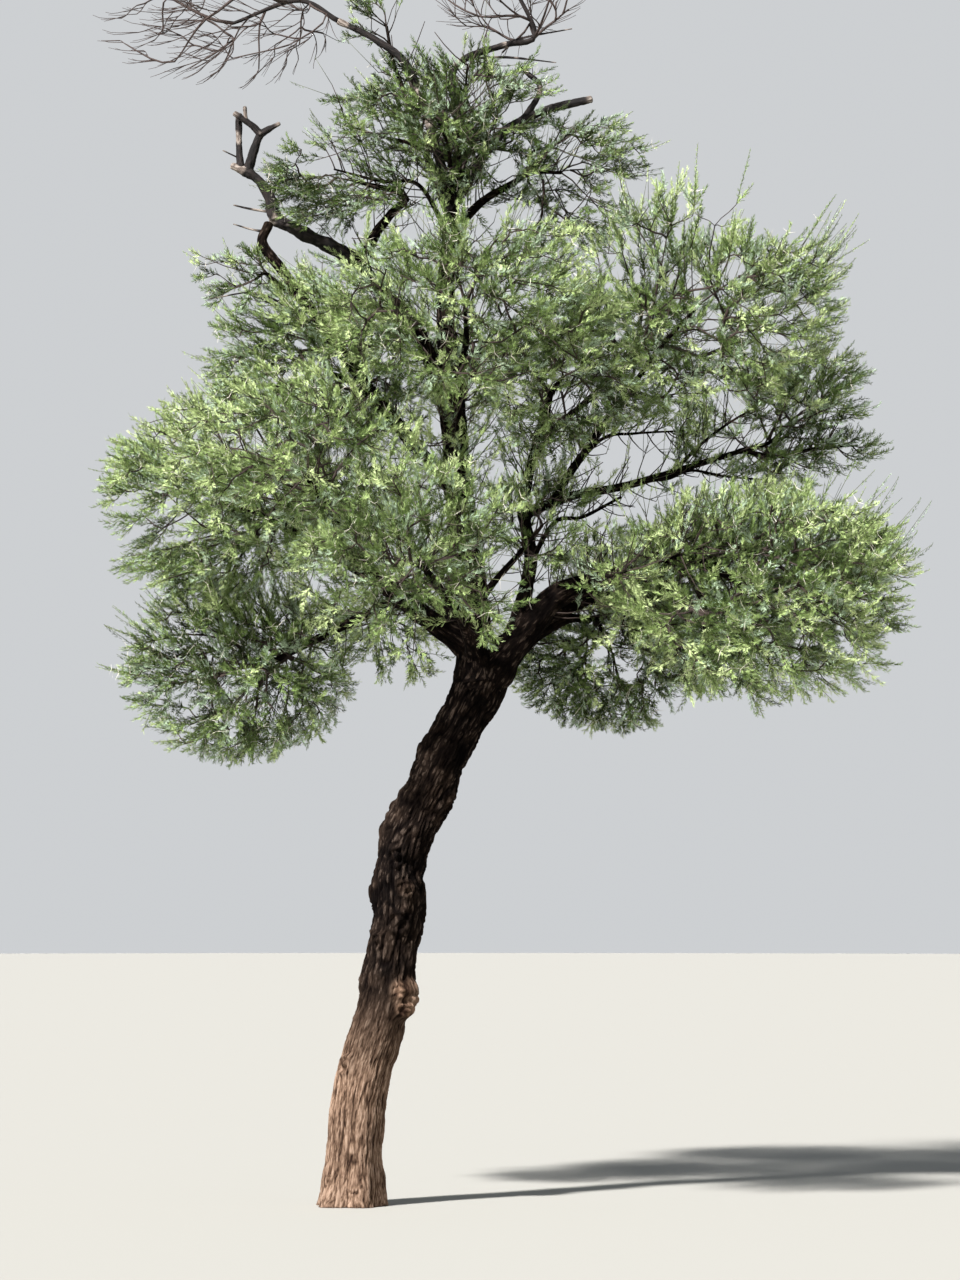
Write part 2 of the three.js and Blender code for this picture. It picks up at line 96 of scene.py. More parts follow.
def newMaterial(name, roughness, specular, colour="#808080"):
    # a Principled shader whose even values stand on its own sockets
    material = bpy.data.materials.new(name)
    material.use_nodes = True
    shader = material.node_tree.nodes["Principled BSDF"]
    shader.inputs["Base Color"].default_value = linearColour(colour)
    shader.inputs["Roughness"].default_value = roughness
    shader.inputs["Specular IOR Level"].default_value = specular
    return material


def meshPiece(name, spots, faceSets, material, slot, nodes, attributes=()):
    # a joined mesh from arrays: face sets hold corner numbers, one row a face
    corners = np.concatenate([faces.ravel() for faces in faceSets])
    sizes = np.concatenate([np.full(len(faces), faces.shape[1]) for faces in faceSets])
    mesh = bpy.data.meshes.new(name)
    mesh.vertices.add(len(spots))
    mesh.vertices.foreach_set("co", np.ascontiguousarray(spots, np.float32).ravel())
    mesh.loops.add(len(corners))
    mesh.loops.foreach_set("vertex_index", corners.astype(np.int32))
    mesh.polygons.add(len(sizes))
    mesh.polygons.foreach_set("loop_start", np.r_[0, np.cumsum(sizes)[:-1]].astype(np.int32))
    for label, values in dict(attributes).items():
        kind, field = ("FLOAT", "value") if values.ndim == 1 else ("FLOAT_VECTOR", "vector")
        layer = mesh.attributes.new(label, kind, "POINT")
        layer.data.foreach_set(field, np.ascontiguousarray(values, np.float32).ravel())
    mesh.update(calc_edges=True)
    mesh.shade_smooth()
    mesh.materials.append(material)
    piece = bpy.data.objects.new(name, mesh)
    bpy.context.scene.collection.objects.link(piece)
    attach(piece, "root")
    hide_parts(*nodes)
    print(f"{name}: {int((sizes - 2).sum())} triangles")


def unit(ways):
    # each vector divided by its own length
    return ways / np.maximum(np.linalg.norm(ways, axis=-1, keepdims=True), 1e-9)


def smoothStep(value, low, high):
    # 0 below low, 1 above high, eased between by 3t^2 - 2t^3
    t = np.clip((value - low) / (high - low), 0, 1)
    return t * t * (3 - 2 * t)


def anglesRound(sides):
    # the angle of each side, from 0 on in even steps round the circle
    return np.arange(sides) * 2 * math.pi / sides


# Chance that comes out the same each time.

lowBits = 0xffffffff                                # 32 bits
mixers = (0x9e3779b1, 0x85ebca6b, 0xc2b2ae35)       # large odd numbers that mix bits well
cornerKeys = (73856093, 19349663, 83492791)         # large primes, one for each axis


def chance(key, draw):
    # two whole numbers mixed by multiplying and shifting, as the solids' source does, as 0 to 1
    key, draw = np.asarray(key, np.int64), np.asarray(draw, np.int64)
    with np.errstate(over="ignore"):      # only the low 32 bits of each product count
        mixed = ((key ^ ((draw + 1) * mixers[0] & lowBits)) * mixers[1]) & lowBits
        mixed = ((mixed ^ mixed >> 13) * mixers[2]) & lowBits
    mixed ^= mixed >> 16
    return mixed / (lowBits + 1)


def softNoise(spots, seed):
    # random numbers at whole corners of space, eased between them; about -1 to 1
    base = np.floor(spots).astype(np.int64)
    part = spots - base
    part = part * part * (3 - 2 * part)
    total = np.zeros(spots.shape[:-1])
    for sides in np.ndindex(2, 2, 2):
        x, y, z = np.moveaxis((base + sides) * cornerKeys, -1, 0)
        value = chance((x ^ y ^ z) & lowBits, seed) * 2 - 1
        for axis, side in enumerate(sides):
            value = value * (part[..., axis] if side else 1 - part[..., axis])
        total = total + value
    return total


# Limbs, stems and first twigs grow by the rule and the values of the solids' source.

growth = {                   # metres, and shares without a unit
    "flareGain": 0.26, "flareReach": 0.13,     # the trunk's flare at the ground, and how high it reaches
    "rootCollar": 1.22,      # how far a limb swells where it leaves its parent
    "jointGap": 0.0003,      # from a bough's tip to the stem of its mass
    "stemBend": 0.4,         # how far the stem runs straight on, as a share of the way to the middle
    "stemStop": 0.15,        # how far short of the middle it ends, against the bend
    "stemTaper": 0.45, "stemLeast": 1.5,       # its tip against its foot, and at least so many twigs
    "twigRadius": 0.0055, "twigTaper": 0.6,
    "twigInset": 0.26, "bareInset": 0.01,      # how far inside a mass's surface first twigs end
    "endMargin": 0.033, "knotMargin": 0.023,   # kept inside a mass's own space
    "limbMargin": 0.006, "endRoom": 0.04,      # kept to other limbs, and round a twig's end
    "twigTurn": 2.4,         # radians from one first twig to the next, the golden angle
    "depth": (0.75, 0.25),   # how far out first twigs end: at least, and how much chance adds
    "drawnIn": (1, 0.85, 0.7),                 # tries at a place for a twig's end
    "knotShares": (0.3, 0.5, 0.7, 0.85, 1),    # where twigs may leave the stem
    "shortest": 0.06,        # a twig
    "turnCost": 0.7, "pathCost": 0.2,          # what a twig's join to a knot is chosen by
    "pieceLength": 0.09,     # of the straight pieces that stand for a limb in tests
}

limbs, paths = {}, {}


def curvePath(bends):
    # Catmull-Rom between bends b and c, with slopes (c - a) / 2 and (d - b) / 2, its ends carried on
    bends = np.asarray(bends, float)
    row = np.vstack([2 * bends[0] - bends[1], bends, 2 * bends[-1] - bends[-2]])
    t = np.linspace(0, len(bends) - 1, 60 * (len(bends) - 1) + 1)
    i = np.minimum(t.astype(int), len(bends) - 2)
    w = (t - i)[:, None]
    a, b, c, d = row[i], row[i + 1], row[i + 2], row[i + 3]
    place = ((2 * w**3 - 3 * w**2 + 1) * b + (w**3 - 2 * w**2 + w) * (c - a) / 2
             + (3 * w**2 - 2 * w**3) * c + (w**3 - w**2) * (d - b) / 2)
    run = np.r_[0, np.cumsum(np.linalg.norm(np.diff(place, axis=0), axis=1))]
    return {"place": place, "share": run / run[-1], "length": run[-1]}


def pathAt(path, share):
    # the places at shares of a path's length, and its directions there
    share = np.asarray(share, float)

    def placeAt(s):
        return np.stack([np.interp(s, path["share"], path["place"][:, k]) for k in range(3)], -1)

    way = placeAt(np.minimum(share + 0.004, 1)) - placeAt(np.maximum(share - 0.004, 0))
    return placeAt(share), unit(way)


def limbRadius(name, share):
    # even taper from foot to end, widened by a collar that dies away along the limb; the trunk
    # flares at the ground instead
    limb, path = limbs[name], paths[name]
    even = (limb["foot"] + (limb["end"] - limb["foot"]) * share) / 1000
    if name == "trunk":
        height = np.maximum(pathAt(path, share)[0][..., 2], 0)
        return even * (1 + growth["flareGain"] * np.exp(-height / growth["flareReach"]))
    collar = np.exp(-share * path["length"] * 1000 / (2 * limb["foot"]))
    return even * (1 + (growth["rootCollar"] - 1) * collar)


def addLimbs(rows):
    # each runs from its parent's axis through its bends; the trunk starts at its own first bend
    for name, parent, share, bends, foot, end in rows:
        places = [np.array(bend) / 1000 for bend in bends]
        if parent:
            places.insert(0, pathAt(paths[parent], share)[0])
        limbs[name] = {"parent": parent, "share": share, "foot": foot, "end": end}
        paths[name] = curvePath(places)
    return [row[0] for row in rows]


# Each limb, in millimetres: the parent and the share of its length at which the limb leaves it, the
# bends that it passes through with its tip as the last, and its radii at foot and tip.
addLimbs([
    ("trunk", None, 0, [(-6, 0, -160), (0, 0, 60), (40, 0, 560), (150, -5, 960), (222, -4, 1400),
                        (275, 0, 1800), (650, 0, 2610)], 137, 128),
])
liveLimbs = addLimbs([
    ("leader", "trunk", 0.985, [(560, 0, 3200), (500, 30, 3900), (462, 0, 4480), (513, 0, 5110)], 98, 28),
    ("right_main_bough", "trunk", 0.965, [(880, -30, 2850), (1060, -60, 3020), (1420, -110, 3100)], 92, 42),
    ("low_right_bough", "right_main_bough", 0.2, [(1040, 130, 2880), (1180, 420, 2900)], 32, 18),
    ("upright_bough", "right_main_bough", 0.25, [(880, -20, 3150), (850, -10, 3480), (960, -190, 3900)],
     42, 20),
    ("long_right_bough", "upright_bough", 0.56, [(1090, 10, 3495), (1390, 20, 3555), (1960, 30, 3730)],
     26, 13),
    ("right_upper_bough", "long_right_bough", 0.14, [(1080, -30, 3610), (1400, -110, 4050)], 22, 15),
    ("upper_back_bough", "upright_bough", 0.62, [(930, 170, 3760), (1180, 480, 4020)], 24, 16),
    ("right_back_bough", "right_main_bough", 0.42, [(1160, 260, 2990), (1400, 760, 3060)], 40, 22),
    ("inner_bough", "leader", 0.14, [(700, -90, 3060), (800, -130, 3170)], 20, 15),
    ("left_low_bough", "leader", 0.06, [(380, -40, 2880), (60, -40, 3120), (-330, 0, 3340)], 60, 28),
    ("left_lower_bough", "left_low_bough", 0.4, [(20, 120, 2890), (-280, 140, 2740)], 30, 19),
    ("left_front_bough", "left_low_bough", 0.3, [(120, -340, 3090), (-60, -660, 3330)], 32, 20),
    ("left_back_bough", "left_low_bough", 0.58, [(-30, 240, 3290), (-160, 520, 3520)], 30, 19),
    ("left_mid_bough", "leader", 0.36, [(330, -30, 3720), (70, -40, 3980)], 36, 20),
    ("low_front_bough", "leader", 0.03, [(560, -330, 2850), (430, -800, 3000)], 46, 22),
    ("low_back_bough", "leader", 0.08, [(480, 330, 2930), (300, 820, 3080)], 44, 22),
    ("front_mid_bough", "leader", 0.42, [(520, -200, 3900), (550, -430, 4110)], 30, 20),
    ("back_mid_bough", "leader", 0.47, [(540, 210, 4010), (600, 430, 4190)], 30, 20),
    ("knot_bough", "leader", 0.5, [(330, -60, 4290), (120, -50, 4530), (13, -30, 4675)], 42, 34),
    ("tower_left_bough", "knot_bough", 0.93, [(112, -20, 4788), (196, -20, 4900)], 30, 22),
    ("tower_right_bough", "leader", 0.87, [(640, 30, 4960), (800, 60, 5060)], 24, 17),
    ("hooked_bough", "left_mid_bough", 0.5, [(60, -210, 4040), (-200, -160, 4400), (-345, -140, 4600),
                                             (-440, -130, 4730), (-412, -110, 4828)], 32, 26),
    ("shoulder_bough", "hooked_bough", 0.62, [(-400, -170, 4560)], 16, 11),
    ("spire_bough", "leader", 0.9, [(380, 100, 5160), (240, 90, 5560)], 22, 12),
])
deadLimbs = addLimbs([
    ("dead_arm_left", "leader", 0.92, [(425, -75, 5180), (285, -70, 5600), (118, -50, 5755),
                                       (-69, -30, 5854)], 27, 15),
    ("dead_arm_right", "leader", 0.9, [(530, 85, 5080), (550, 115, 5300), (490, 110, 5580),
                                       (561, 90, 5690), (765, 70, 5757)], 26, 16),
    ("broken_stub", "leader", 0.94, [(705, -20, 5262), (935, 0, 5405), (1182, 0, 5469)], 25, 19),
    ("stub_riser", "broken_stub", 0.61, [(931, 0, 5520), (856, 0, 5612)], 17, 11),
    ("twisted_arm_lower", "knot_bough", 0.985, [(-146, -10, 4750), (-392, 0, 4874)], 35, 31),
    ("twisted_arm_upper", "twisted_arm_lower", 0.97, [(-415, 0, 4985), (-486, 0, 5082), (-596, 0, 5136)],
     30, 19),
    ("prong_left", "twisted_arm_upper", 0.88, [(-565, 14, 5240), (-566, 20, 5396)], 18, 15),
    ("prong_right", "twisted_arm_upper", 0.78, [(-486, -10, 5225), (-452, -20, 5292), (-365, -20, 5344)],
     22, 12),
    ("prong_bar", "prong_right", 0.66, [(-505, -28, 5338), (-584, -36, 5392)], 17, 14),
])

# Each mass of foliage, in millimetres: the limb at whose tip its stem begins, its middle, its half
# sizes, and how many first twigs it has. The rest is for the leaves: the way that all its twigs lean,
# how much darker they are dealt as painted shade (shade; below zero, lighter as painted sunlight), and how
# many more fine twigs than usual they grow on (fuller).
noLean = (0, 0, 0)
leafyRows = [
    ("crown_top", "leader", (500, 0, 5390), (660, 580, 430), 8, (-0.2, 0, -0.18), 0.24, 1.6),
    ("tower_right", "tower_right_bough", (1060, 60, 5110), (410, 440, 390), 4, (0.35, 0, -0.25), 0.17, 1.3),
    ("tower_left", "tower_left_bough", (-20, -60, 5060), (470, 480, 300), 5, (-0.75, 0, -0.5), 0.24, 2.2),
    ("top_spire", "spire_bough", (160, 90, 5880), (240, 240, 270), 2, noLean, 0, 1),
    ("left_shoulder", "shoulder_bough", (-480, -190, 4540), (290, 280, 200), 2, (-0.6, 0, -0.2), 0, 1.2),
    ("mid_front", "front_mid_bough", (560, -740, 4370), (760, 600, 500), 6, noLean, 0, 1.15),
    ("mid_back", "back_mid_bough", (620, 780, 4430), (760, 640, 520), 6, noLean, 0, 0.65),
    ("mid_left", "left_mid_bough", (-150, -40, 4120), (580, 740, 520), 6, (-0.5, 0, -0.22), 0, 1.3),
    ("right_upper", "right_upper_bough", (1740, -260, 4450), (680, 760, 600), 7, (0.05, 0, 0.12), -0.08, 1.4),
    ("right_upper_back", "upper_back_bough", (1430, 860, 4240), (650, 600, 500), 5, (0.05, 0, 0.12), 0, 0.75),
    ("upper_heart", "upright_bough", (1050, -310, 4070), (450, 560, 460), 4, noLean, 0, 1.4),
    ("right_far", "long_right_bough", (2200, 60, 3900), (510, 570, 350), 5, (0.35, 0, 0), 0, 1.5),
    ("inner_tuft", "inner_bough", (950, -190, 3350), (380, 340, 280), 3, noLean, 0, 1.7),
    ("right_low", "right_main_bough", (2050, -340, 2980), (860, 900, 550), 8, (0.3, 0, -0.06), -0.10, 1.75),
    ("right_under", "low_right_bough", (1310, 540, 2730), (580, 480, 380), 4, noLean, 0.12, 2.4),
    ("right_back", "right_back_bough", (1680, 1250, 3060), (680, 580, 450), 6, (0.25, 0, -0.05), 0, 0.8),
    ("left_outer", "left_low_bough", (-700, -20, 3470), (640, 770, 510), 7, (-0.6, 0, -0.28), 0, 1.45),
    ("left_lower", "left_lower_bough", (-570, 120, 2640), (580, 660, 460), 5, (-0.35, 0, -0.15), 0.12, 1.75),
    ("left_front", "left_front_bough", (-220, -960, 3550), (620, 500, 510), 5, (-0.4, 0, -0.15), 0, 1.15),
    ("left_back", "left_back_bough", (-300, 940, 3710), (640, 580, 520), 5, (-0.4, 0, -0.15), 0, 0.9),
    ("low_front", "low_front_bough", (340, -1260, 3090), (570, 560, 490), 5, noLean, 0, 1),
    ("low_back", "low_back_bough", (150, 1340, 3130), (590, 580, 520), 5, noLean, 0, 0.75),
]
bareRows = [
    ("bare_left", "dead_arm_left", (-650, 0, 5830), (630, 380, 290), 14, (-1.0, 0, -0.12), 0, 1),
    ("bare_top", "dead_arm_right", (760, 60, 6130), (420, 360, 440), 12, (0.15, 0, 0.35), 0, 1),
]
leafyMasses = [row[0] for row in leafyRows]
bareMasses = [row[0] for row in bareRows]
masses = {}
for number, (name, limb, middle, size, ends, sweep, shade, fuller) in enumerate(leafyRows + bareRows):
    middle, size = np.array(middle) / 1000, np.array(size) / 1000
    foot, way = pathAt(paths[limb], 1.0)
    foot = foot + way * growth["jointGap"]
    bend = foot + way * growth["stemBend"] * np.linalg.norm(middle - foot)
    masses[name] = {
        "key": 1000 * (number + 1), "limb": limb, "middle": middle, "size": size, "ends": ends,
        "sweep": np.array(sweep, float), "shade": shade, "fuller": fuller, "bare": name in bareMasses,
        "foot": foot, "stem": curvePath([foot, bend, middle + growth["stemStop"] * (bend - middle)]),
    }


def stemRadius(name, share):
    # even taper from the bough's end to a share of it, or to a few twigs
    foot = limbs[masses[name]["limb"]]["end"] / 1000
    tip = max(foot * growth["stemTaper"], growth["twigRadius"] * growth["stemLeast"])
    return foot + (tip - foot) * share


for mass in masses.values():
    # the planes to the other masses, at the share of the way where their surfaces would meet
    others = [other for other in masses.values() if other is not mass]
    ways = np.array([other["middle"] - mass["middle"] for other in others])
    distance = np.linalg.norm(ways, axis=1)
    ways = unit(ways)
    near = 1 / np.linalg.norm(ways / mass["size"], axis=1)
    far = 1 / np.linalg.norm(ways / np.array([other["size"] for other in others]), axis=1)
    mass["planes"] = (ways, (distance**2 + near**2 - far**2) / (2 * distance))


def farOut(mass, spots):
    # how far out a spot lies: 0 in the middle of the mass, 1 on its ellipsoid
    return np.linalg.norm((spots - mass["middle"]) / mass["size"], axis=-1)


def isMine(mass, spots, margin):
    # on the mass's own side of every plane
    ways, limits = mass["planes"]
    return np.all((spots - mass["middle"]) @ ways.T < limits - margin, axis=-1)


def isInside(mass, spots, margin):
    # inside the mass's ellipsoid, and on its own side of every plane
    return (farOut(mass, spots) <= 1 - margin / mass["size"].min()) & isMine(mass, spots, margin)


def gapsBetween(a, b, c, d):
    # the least distance from the straight piece a-b to each straight piece c-d
    u, v, w = b - a, d - c, a - c
    uu, uv, vv, uw, vw = u @ u, v @ u, (v * v).sum(1), w @ u, (v * w).sum(1)
    across = uu * vv - uv * uv
    s = np.where(across > 1e-12, np.clip((uv * vw - vv * uw) / np.maximum(across, 1e-12), 0, 1), 0)
    t = np.clip((uv * s + vw) / vv, 0, 1)
    s = np.clip((uv * t - uw) / max(uu, 1e-15), 0, 1)
    return np.linalg.norm(w + s[:, None] * u - t[:, None] * v, axis=1)


# Limbs and stems as short straight pieces, for the tests of what grows near them.
straight = {"owner": [], "a": [], "b": [], "radius": []}
stems = [(name, masses[name]["stem"], stemRadius) for name in masses]
for name, path, radiusAt in [(name, paths[name], limbRadius) for name in limbs] + stems:
    count = max(3, int(path["length"] / growth["pieceLength"] + 0.5))
    share = np.arange(count) / count
    straight["owner"].append([name] * count)
    straight["a"].append(pathAt(path, share)[0])
    straight["b"].append(pathAt(path, share + 1 / count)[0])
    straight["radius"].append(radiusAt(name, share))
straight = {key: np.concatenate(rows) for key, rows in straight.items()}


def isClear(name, a, b, halfWidth):
    # whether a straight piece keeps off every limb and every other mass's stem
    other = straight["owner"] != name
    gaps = gapsBetween(a, b, straight["a"][other], straight["b"][other])
    return np.all(gaps > straight["radius"][other] + halfWidth + growth["limbMargin"])


def firstTwigEnds(name, mass):
    # points spread evenly round the middle, so far inside the surface that sprays reach it; one that
    # has no room is drawn in
    key, count = mass["key"], mass["ends"]
    region = np.maximum(mass["size"] - growth["bareInset" if mass["bare"] else "twigInset"], mass["size"] / 2)
    ends = []
    for i in range(count):
        level = 1 - (2 * i + 1) / count
        turn = growth["twigTurn"] * i + 6.28 * chance(key, 0)
        ring = math.sqrt(1 - level * level)
        way = np.array([ring * math.cos(turn), ring * math.sin(turn), level]) * region
        depth = growth["depth"][0] + growth["depth"][1] * chance(key, i + 1)
        for drawn in growth["drawnIn"]:
            place = mass["middle"] + way * (drawn * depth)
            if (isInside(mass, place, growth["endMargin"])
                    and isClear(name, place, place + 0.0001, growth["endRoom"])):
                ends.append(place)
                break
    return sorted(ends, key=lambda place: np.linalg.norm(place - mass["foot"]))


def firstTwigs(name, mass):
    # each end is joined to the knot with the least length * (1 + cost of the turn) + cost of the path,
    # and becomes a knot itself; a twig is as thick as the root of how many ends it feeds
    knots = [(place, way, -1) for place, way in zip(*pathAt(mass["stem"], growth["knotShares"]))]
    twigs = []
    for end in firstTwigEnds(name, mass):
        best = None
        for place, along, owner in knots:
            length = np.linalg.norm(end - place)
            if length <= growth["shortest"]:
                continue
            way = (end - place) / length
            effort = (length * (1 + growth["turnCost"] * (1 - way @ along))
                      + growth["pathCost"] * np.linalg.norm(place - mass["foot"]))
            if ((best is None or effort < best[0])
                    and isInside(mass, place, growth["knotMargin"])
                    and isClear(name, place, end, 2 * growth["twigRadius"])):
                best = (effort, place, way, owner, along)
        if best is not None:
            effort, place, way, owner, along = best
            twigs.append({"a": place, "b": end, "way": way, "parent": owner, "along": along, "ends": 0})
            knots.append((end, way, len(twigs) - 1))
    for i in range(len(twigs)):
        t = i
        while t >= 0:
            twigs[t]["ends"] += 1
            t = twigs[t]["parent"]
    thick = growth["twigRadius"] * np.sqrt([twig["ends"] for twig in twigs])
    a, b, way, along = (np.array([twig[key] for twig in twigs]) for key in ("a", "b", "way", "along"))
    return {"a": a, "b": b, "wayA": unit(along + way), "wayB": unit(way + 0.15 * upward),
            "radiusA": thick, "radiusB": thick * growth["twigTaper"]}


# Side branches finer than the solids' limbs, which grow on from them inside their reach.
sideBranches = addLimbs([
    ("gap_fork", "long_right_bough", 0.66, [(1720, 30, 3745), (1840, 20, 3840), (2010, 0, 3945)], 11, 4),
    ("gap_tip", "long_right_bough", 0.97, [(2130, 20, 3690), (2260, 10, 3725), (2500, 0, 3745)], 12, 5),
    ("gap_low", "upright_bough", 0.36, [(1002, 20, 3365), (1140, 25, 3391), (1330, 30, 3490)], 14, 7),
    ("gap_up", "right_upper_bough", 0.25, [(1240, -40, 3775), (1390, -30, 3800), (1640, -20, 3815)], 11, 4),
    ("heart_front", "leader", 0.30, [(520, -160, 3620), (440, -440, 3840)], 14, 5),
    ("low_screen", "right_main_bough", 0.90, [(1520, -330, 3150), (1720, -640, 3200)], 13, 4),
    ("fork_screen", "right_main_bough", 0.62, [(1230, -370, 3060), (1340, -640, 3080)], 13, 4),
    ("gap_under", "long_right_bough", 0.55, [(1560, 20, 3580), (1680, 10, 3620), (1850, 0, 3590),
                                             (2080, 0, 3570)], 10, 4),
    ("tower_low_left", "leader", 0.87, [(330, -60, 5030), (140, -70, 5050), (-90, -60, 5110)], 15, 5),
    ("tower_high_left", "leader", 0.95, [(330, -60, 5210), (150, -70, 5270), (-40, -60, 5330)], 14, 5),
    ("tower_front", "leader", 0.92, [(480, -200, 5170), (430, -420, 5290)], 14, 5),
    ("tower_top", "leader", 0.98, [(545, -90, 5330), (570, -200, 5610)], 13, 4),
])
deadTwigs = addLimbs([
    ("arm_twig_upper", "twisted_arm_upper", 0.10, [(-503, 5, 4921), (-590, 5, 4941)], 9, 4),
    ("arm_twig_lower", "hooked_bough", 0.97, [(-500, -110, 4805), (-585, -110, 4830)], 8, 3),
    ("bar_stub", "prong_bar", 0.60, [(-535, -34, 5425)], 11, 8),
    ("prong_twig", "prong_left", 0.20, [(-645, 10, 5215)], 5, 3),
    ("riser_twig", "dead_arm_right", 0.80, [(760, 60, 5690), (1010, 40, 5660)], 8, 3),
    ("top_twig", "dead_arm_right", 0.95, [(850, 70, 5790), (1090, 70, 5835)], 8, 3),
    ("shoulder_twig", "hooked_bough", 0.50, [(-430, -170, 4470), (-700, -160, 4455)], 9, 3),
])
print("limbs laid out:", len(limbs))


# Wood: a round profile carried along each limb's path, with the relief of its bark.

wood = {                       # metres
    "trunkStep": 0.0064,       # from ring to ring on the trunk
    "trunkSides": 186,
    "boughStep": 0.0095, "boughSides": 16, "branchSides": 10,      # one mesh step, and the fewest sides
    "deadStep": 0.0068, "deadSides": 18, "stemStep": 0.03, "stemSides": 10,
    "dome": 0.55,              # how far a limb's end is rounded, against its radius
    "lowBark": (0.0135, 0.20, 0.0065, 56, 0.12, 11),    # ridge width and length, relief, plates round
    "highBark": (0.030, 0.13, 0.0180, 28, 0.08, 31),    # the trunk and their length, and a seed
    "change": (0.68, 1.15),    # height over which the fine low bark gives way to the rough bark
    "lumps": ((0.012, 7, 21), (0.007, 16, 22)),         # height, how many a metre, and a seed
    "flutes": (0.016, 5, 1.4, 0.30),     # depth, how many round, their twist, and how high they reach
    "paintedSunlight": (0.45, 1.25, 0.9),         # height over which the painted sunlight on the trunk's foot fades out, and how pale it is
    "boughRelief": 0.085,      # of a bough's radius
    "boughRidges": (0.014, 0.036),       # their least and greatest width, else a twelfth of the girth
    "boughPaintedShade": -0.06,        # painted shade: boughs are dealt a little darker than the trunk
    "deadRelief": (0.16, 0.5, 0.10),     # grooves, knots, and bare or cracked wood, of the radius
    "deadGrooves": (3, 5, 9),            # two counts round the limb that beat, and their winding a metre
    "tornEnd": 0.03,                     # length over which a snapped end is bare
    "blend": 0.8,              # reach of a fork's smooth web, against the thinner limb's radius
    # knots and scars: share of the trunk's length, turn, rise, half width, half height, and how far
    # their tops are lightened by painted sunlight
    "burls": [
        (0.416, -0.62, 0.058, 0.105, 0.125, 0.8), (0.397, -0.80, 0.030, 0.050, 0.045, 1.0),
        (0.432, -1.10, 0.026, 0.045, 0.050, 0.8), (0.550, -1.42, 0.030, 0.072, 0.092, 0.0),
        (0.605, -1.30, 0.022, 0.055, 0.060, 0.1), (0.515, -2.20, 0.020, 0.048, 0.058, 0.0),
        (0.660, -1.75, 0.020, 0.060, 0.075, 0.0), (0.300, -2.40, 0.012, 0.050, 0.070, 0.0),
        (0.470, 1.30, 0.026, 0.070, 0.100, 0.2), (0.740, 2.50, 0.024, 0.070, 0.090, 0.1),
        (0.240, 0.90, 0.014, 0.055, 0.080, 0.0), (0.760, -0.40, 0.020, 0.060, 0.080, 0.1),
    ],
}


def tubeFaces(rings, sides):
    # four corners a face: (i, j), (i, j + 1), (i + 1, j + 1), (i + 1, j), closed round the limb
    i, j = np.meshgrid(np.arange(rings - 1), np.arange(sides), indexing="ij")
    k = (j + 1) % sides
    corners = (i * sides + j, i * sides + k, (i + 1) * sides + k, (i + 1) * sides + j)
    return np.stack(corners, -1).reshape(-1, 4)


def capFaces(ring, centre, turned):
    # a fan from a ring of corners to one centre
    nextOne = np.roll(ring, -1)
    pair = (nextOne, ring) if turned else (ring, nextOne)
    return np.stack([*pair, np.full(len(ring), centre)], -1)


def crossAxes(along):
    # for each direction, two axes square to it, from the world axis that it keeps furthest from
    worst = np.abs(along).reshape(-1, 3).max(0)
    start = np.eye(3)[int(np.argmin(worst))]
    across = unit(start - along * (along @ start)[..., None])
    return across, np.cross(along, across)


def barkPlates(turn, run, unbent, across, length, seed):
    # distance to the second nearest cell point less that to the nearest, in cells that go a whole
    # number of times round the limb and are stretched along it: 0 in a fissure, 1 on a plate; two
    # noises bend the cells sideways by up to three quarters of one, and a third along the limb
    warp = (0.5 * softNoise(unbent / (length * 0.6), seed)
            + 0.25 * softNoise(unbent / (length * 0.22), seed + 1))
    lift = 0.45 * softNoise(unbent / (length * 0.5) + 7.7, seed + 2)
    a = turn / (2 * math.pi) * across + warp
    b = run / length + lift
    cellA, cellB = np.floor(a), np.floor(b)
    nearest = np.full(a.shape, 9.0)
    second = np.full(a.shape, 9.0)
    for i in (-1, 0, 1):
        for j in (-1, 0, 1):
            u, v = cellA + i, cellB + j
            key = ((u % across) * 7919 + v * 104729 + 1e7).astype(np.int64)      # one for each cell
            away = np.hypot(u + chance(key, seed + 3) - a, v + chance(key, seed + 4) - b)
            second = np.minimum(second, np.maximum(away, nearest))
            nearest = np.minimum(nearest, away)
    return smoothStep(second - nearest, 0.02, 0.34)


def barkFissures(unbent, wide, long, seed):
    # soft noise stretched along the limb crosses zero in long wandering lines: |noise| is 0 there
    warp = 0.35 * wide * softNoise(unbent / (3 * wide), seed + 1)[..., None] * (1, -1, 0)
    field = softNoise((unbent + warp) / (wide, wide, long), seed)
    return smoothStep(np.abs(field), 0.0, 0.34)


def forkSwell(spots, name):
    # a smooth union's push outwards: (k/4) (1 - |d|/k)^2, with d the distance to the other limb
    total = np.zeros(spots.shape[:-1])
    parent = limbs[name]["parent"]
    for other, limb in limbs.items():
        sibling = other != name and limb["parent"] == parent is not None
        if not (limb["parent"] == name or parent == other or sibling):
            continue
        child = limbs[other if limb["parent"] == name else name]
        fork = pathAt(paths[child["parent"]], child["share"])[0]
        k = wood["blend"] * min(child["foot"], limb["foot"], limbs[name]["foot"]) / 1000
        reach = 2.2 * limbRadius(child["parent"], child["share"]) + 2.5 * k      # past it there is no web
        near = np.linalg.norm(spots - fork, axis=-1) < reach + 0.12
        share = np.linspace(0, 1, max(12, int(paths[other]["length"] / 0.015)))     # each 15 mm
        axis, radius = pathAt(paths[other], share)[0], limbRadius(other, share)
        close = np.linalg.norm(axis - fork, axis=1) < reach + 0.3
        if not near.any() or not close.any():
            continue
        picked = spots[near]
        away = np.full(len(picked), 9.0)
        for part in np.array_split(np.arange(len(picked)), max(1, len(picked) // 4000)):     # for memory
            gaps = np.linalg.norm(picked[part][:, None] - axis[close][None], axis=2) - radius[close]
            away[part] = gaps.min(1)
        swell = k / 4 * np.clip(1 - np.abs(away) / k, 0, 1) ** 2
        total[near] = np.maximum(total[near], swell * smoothStep(away, -k, -0.2 * k))
    return total


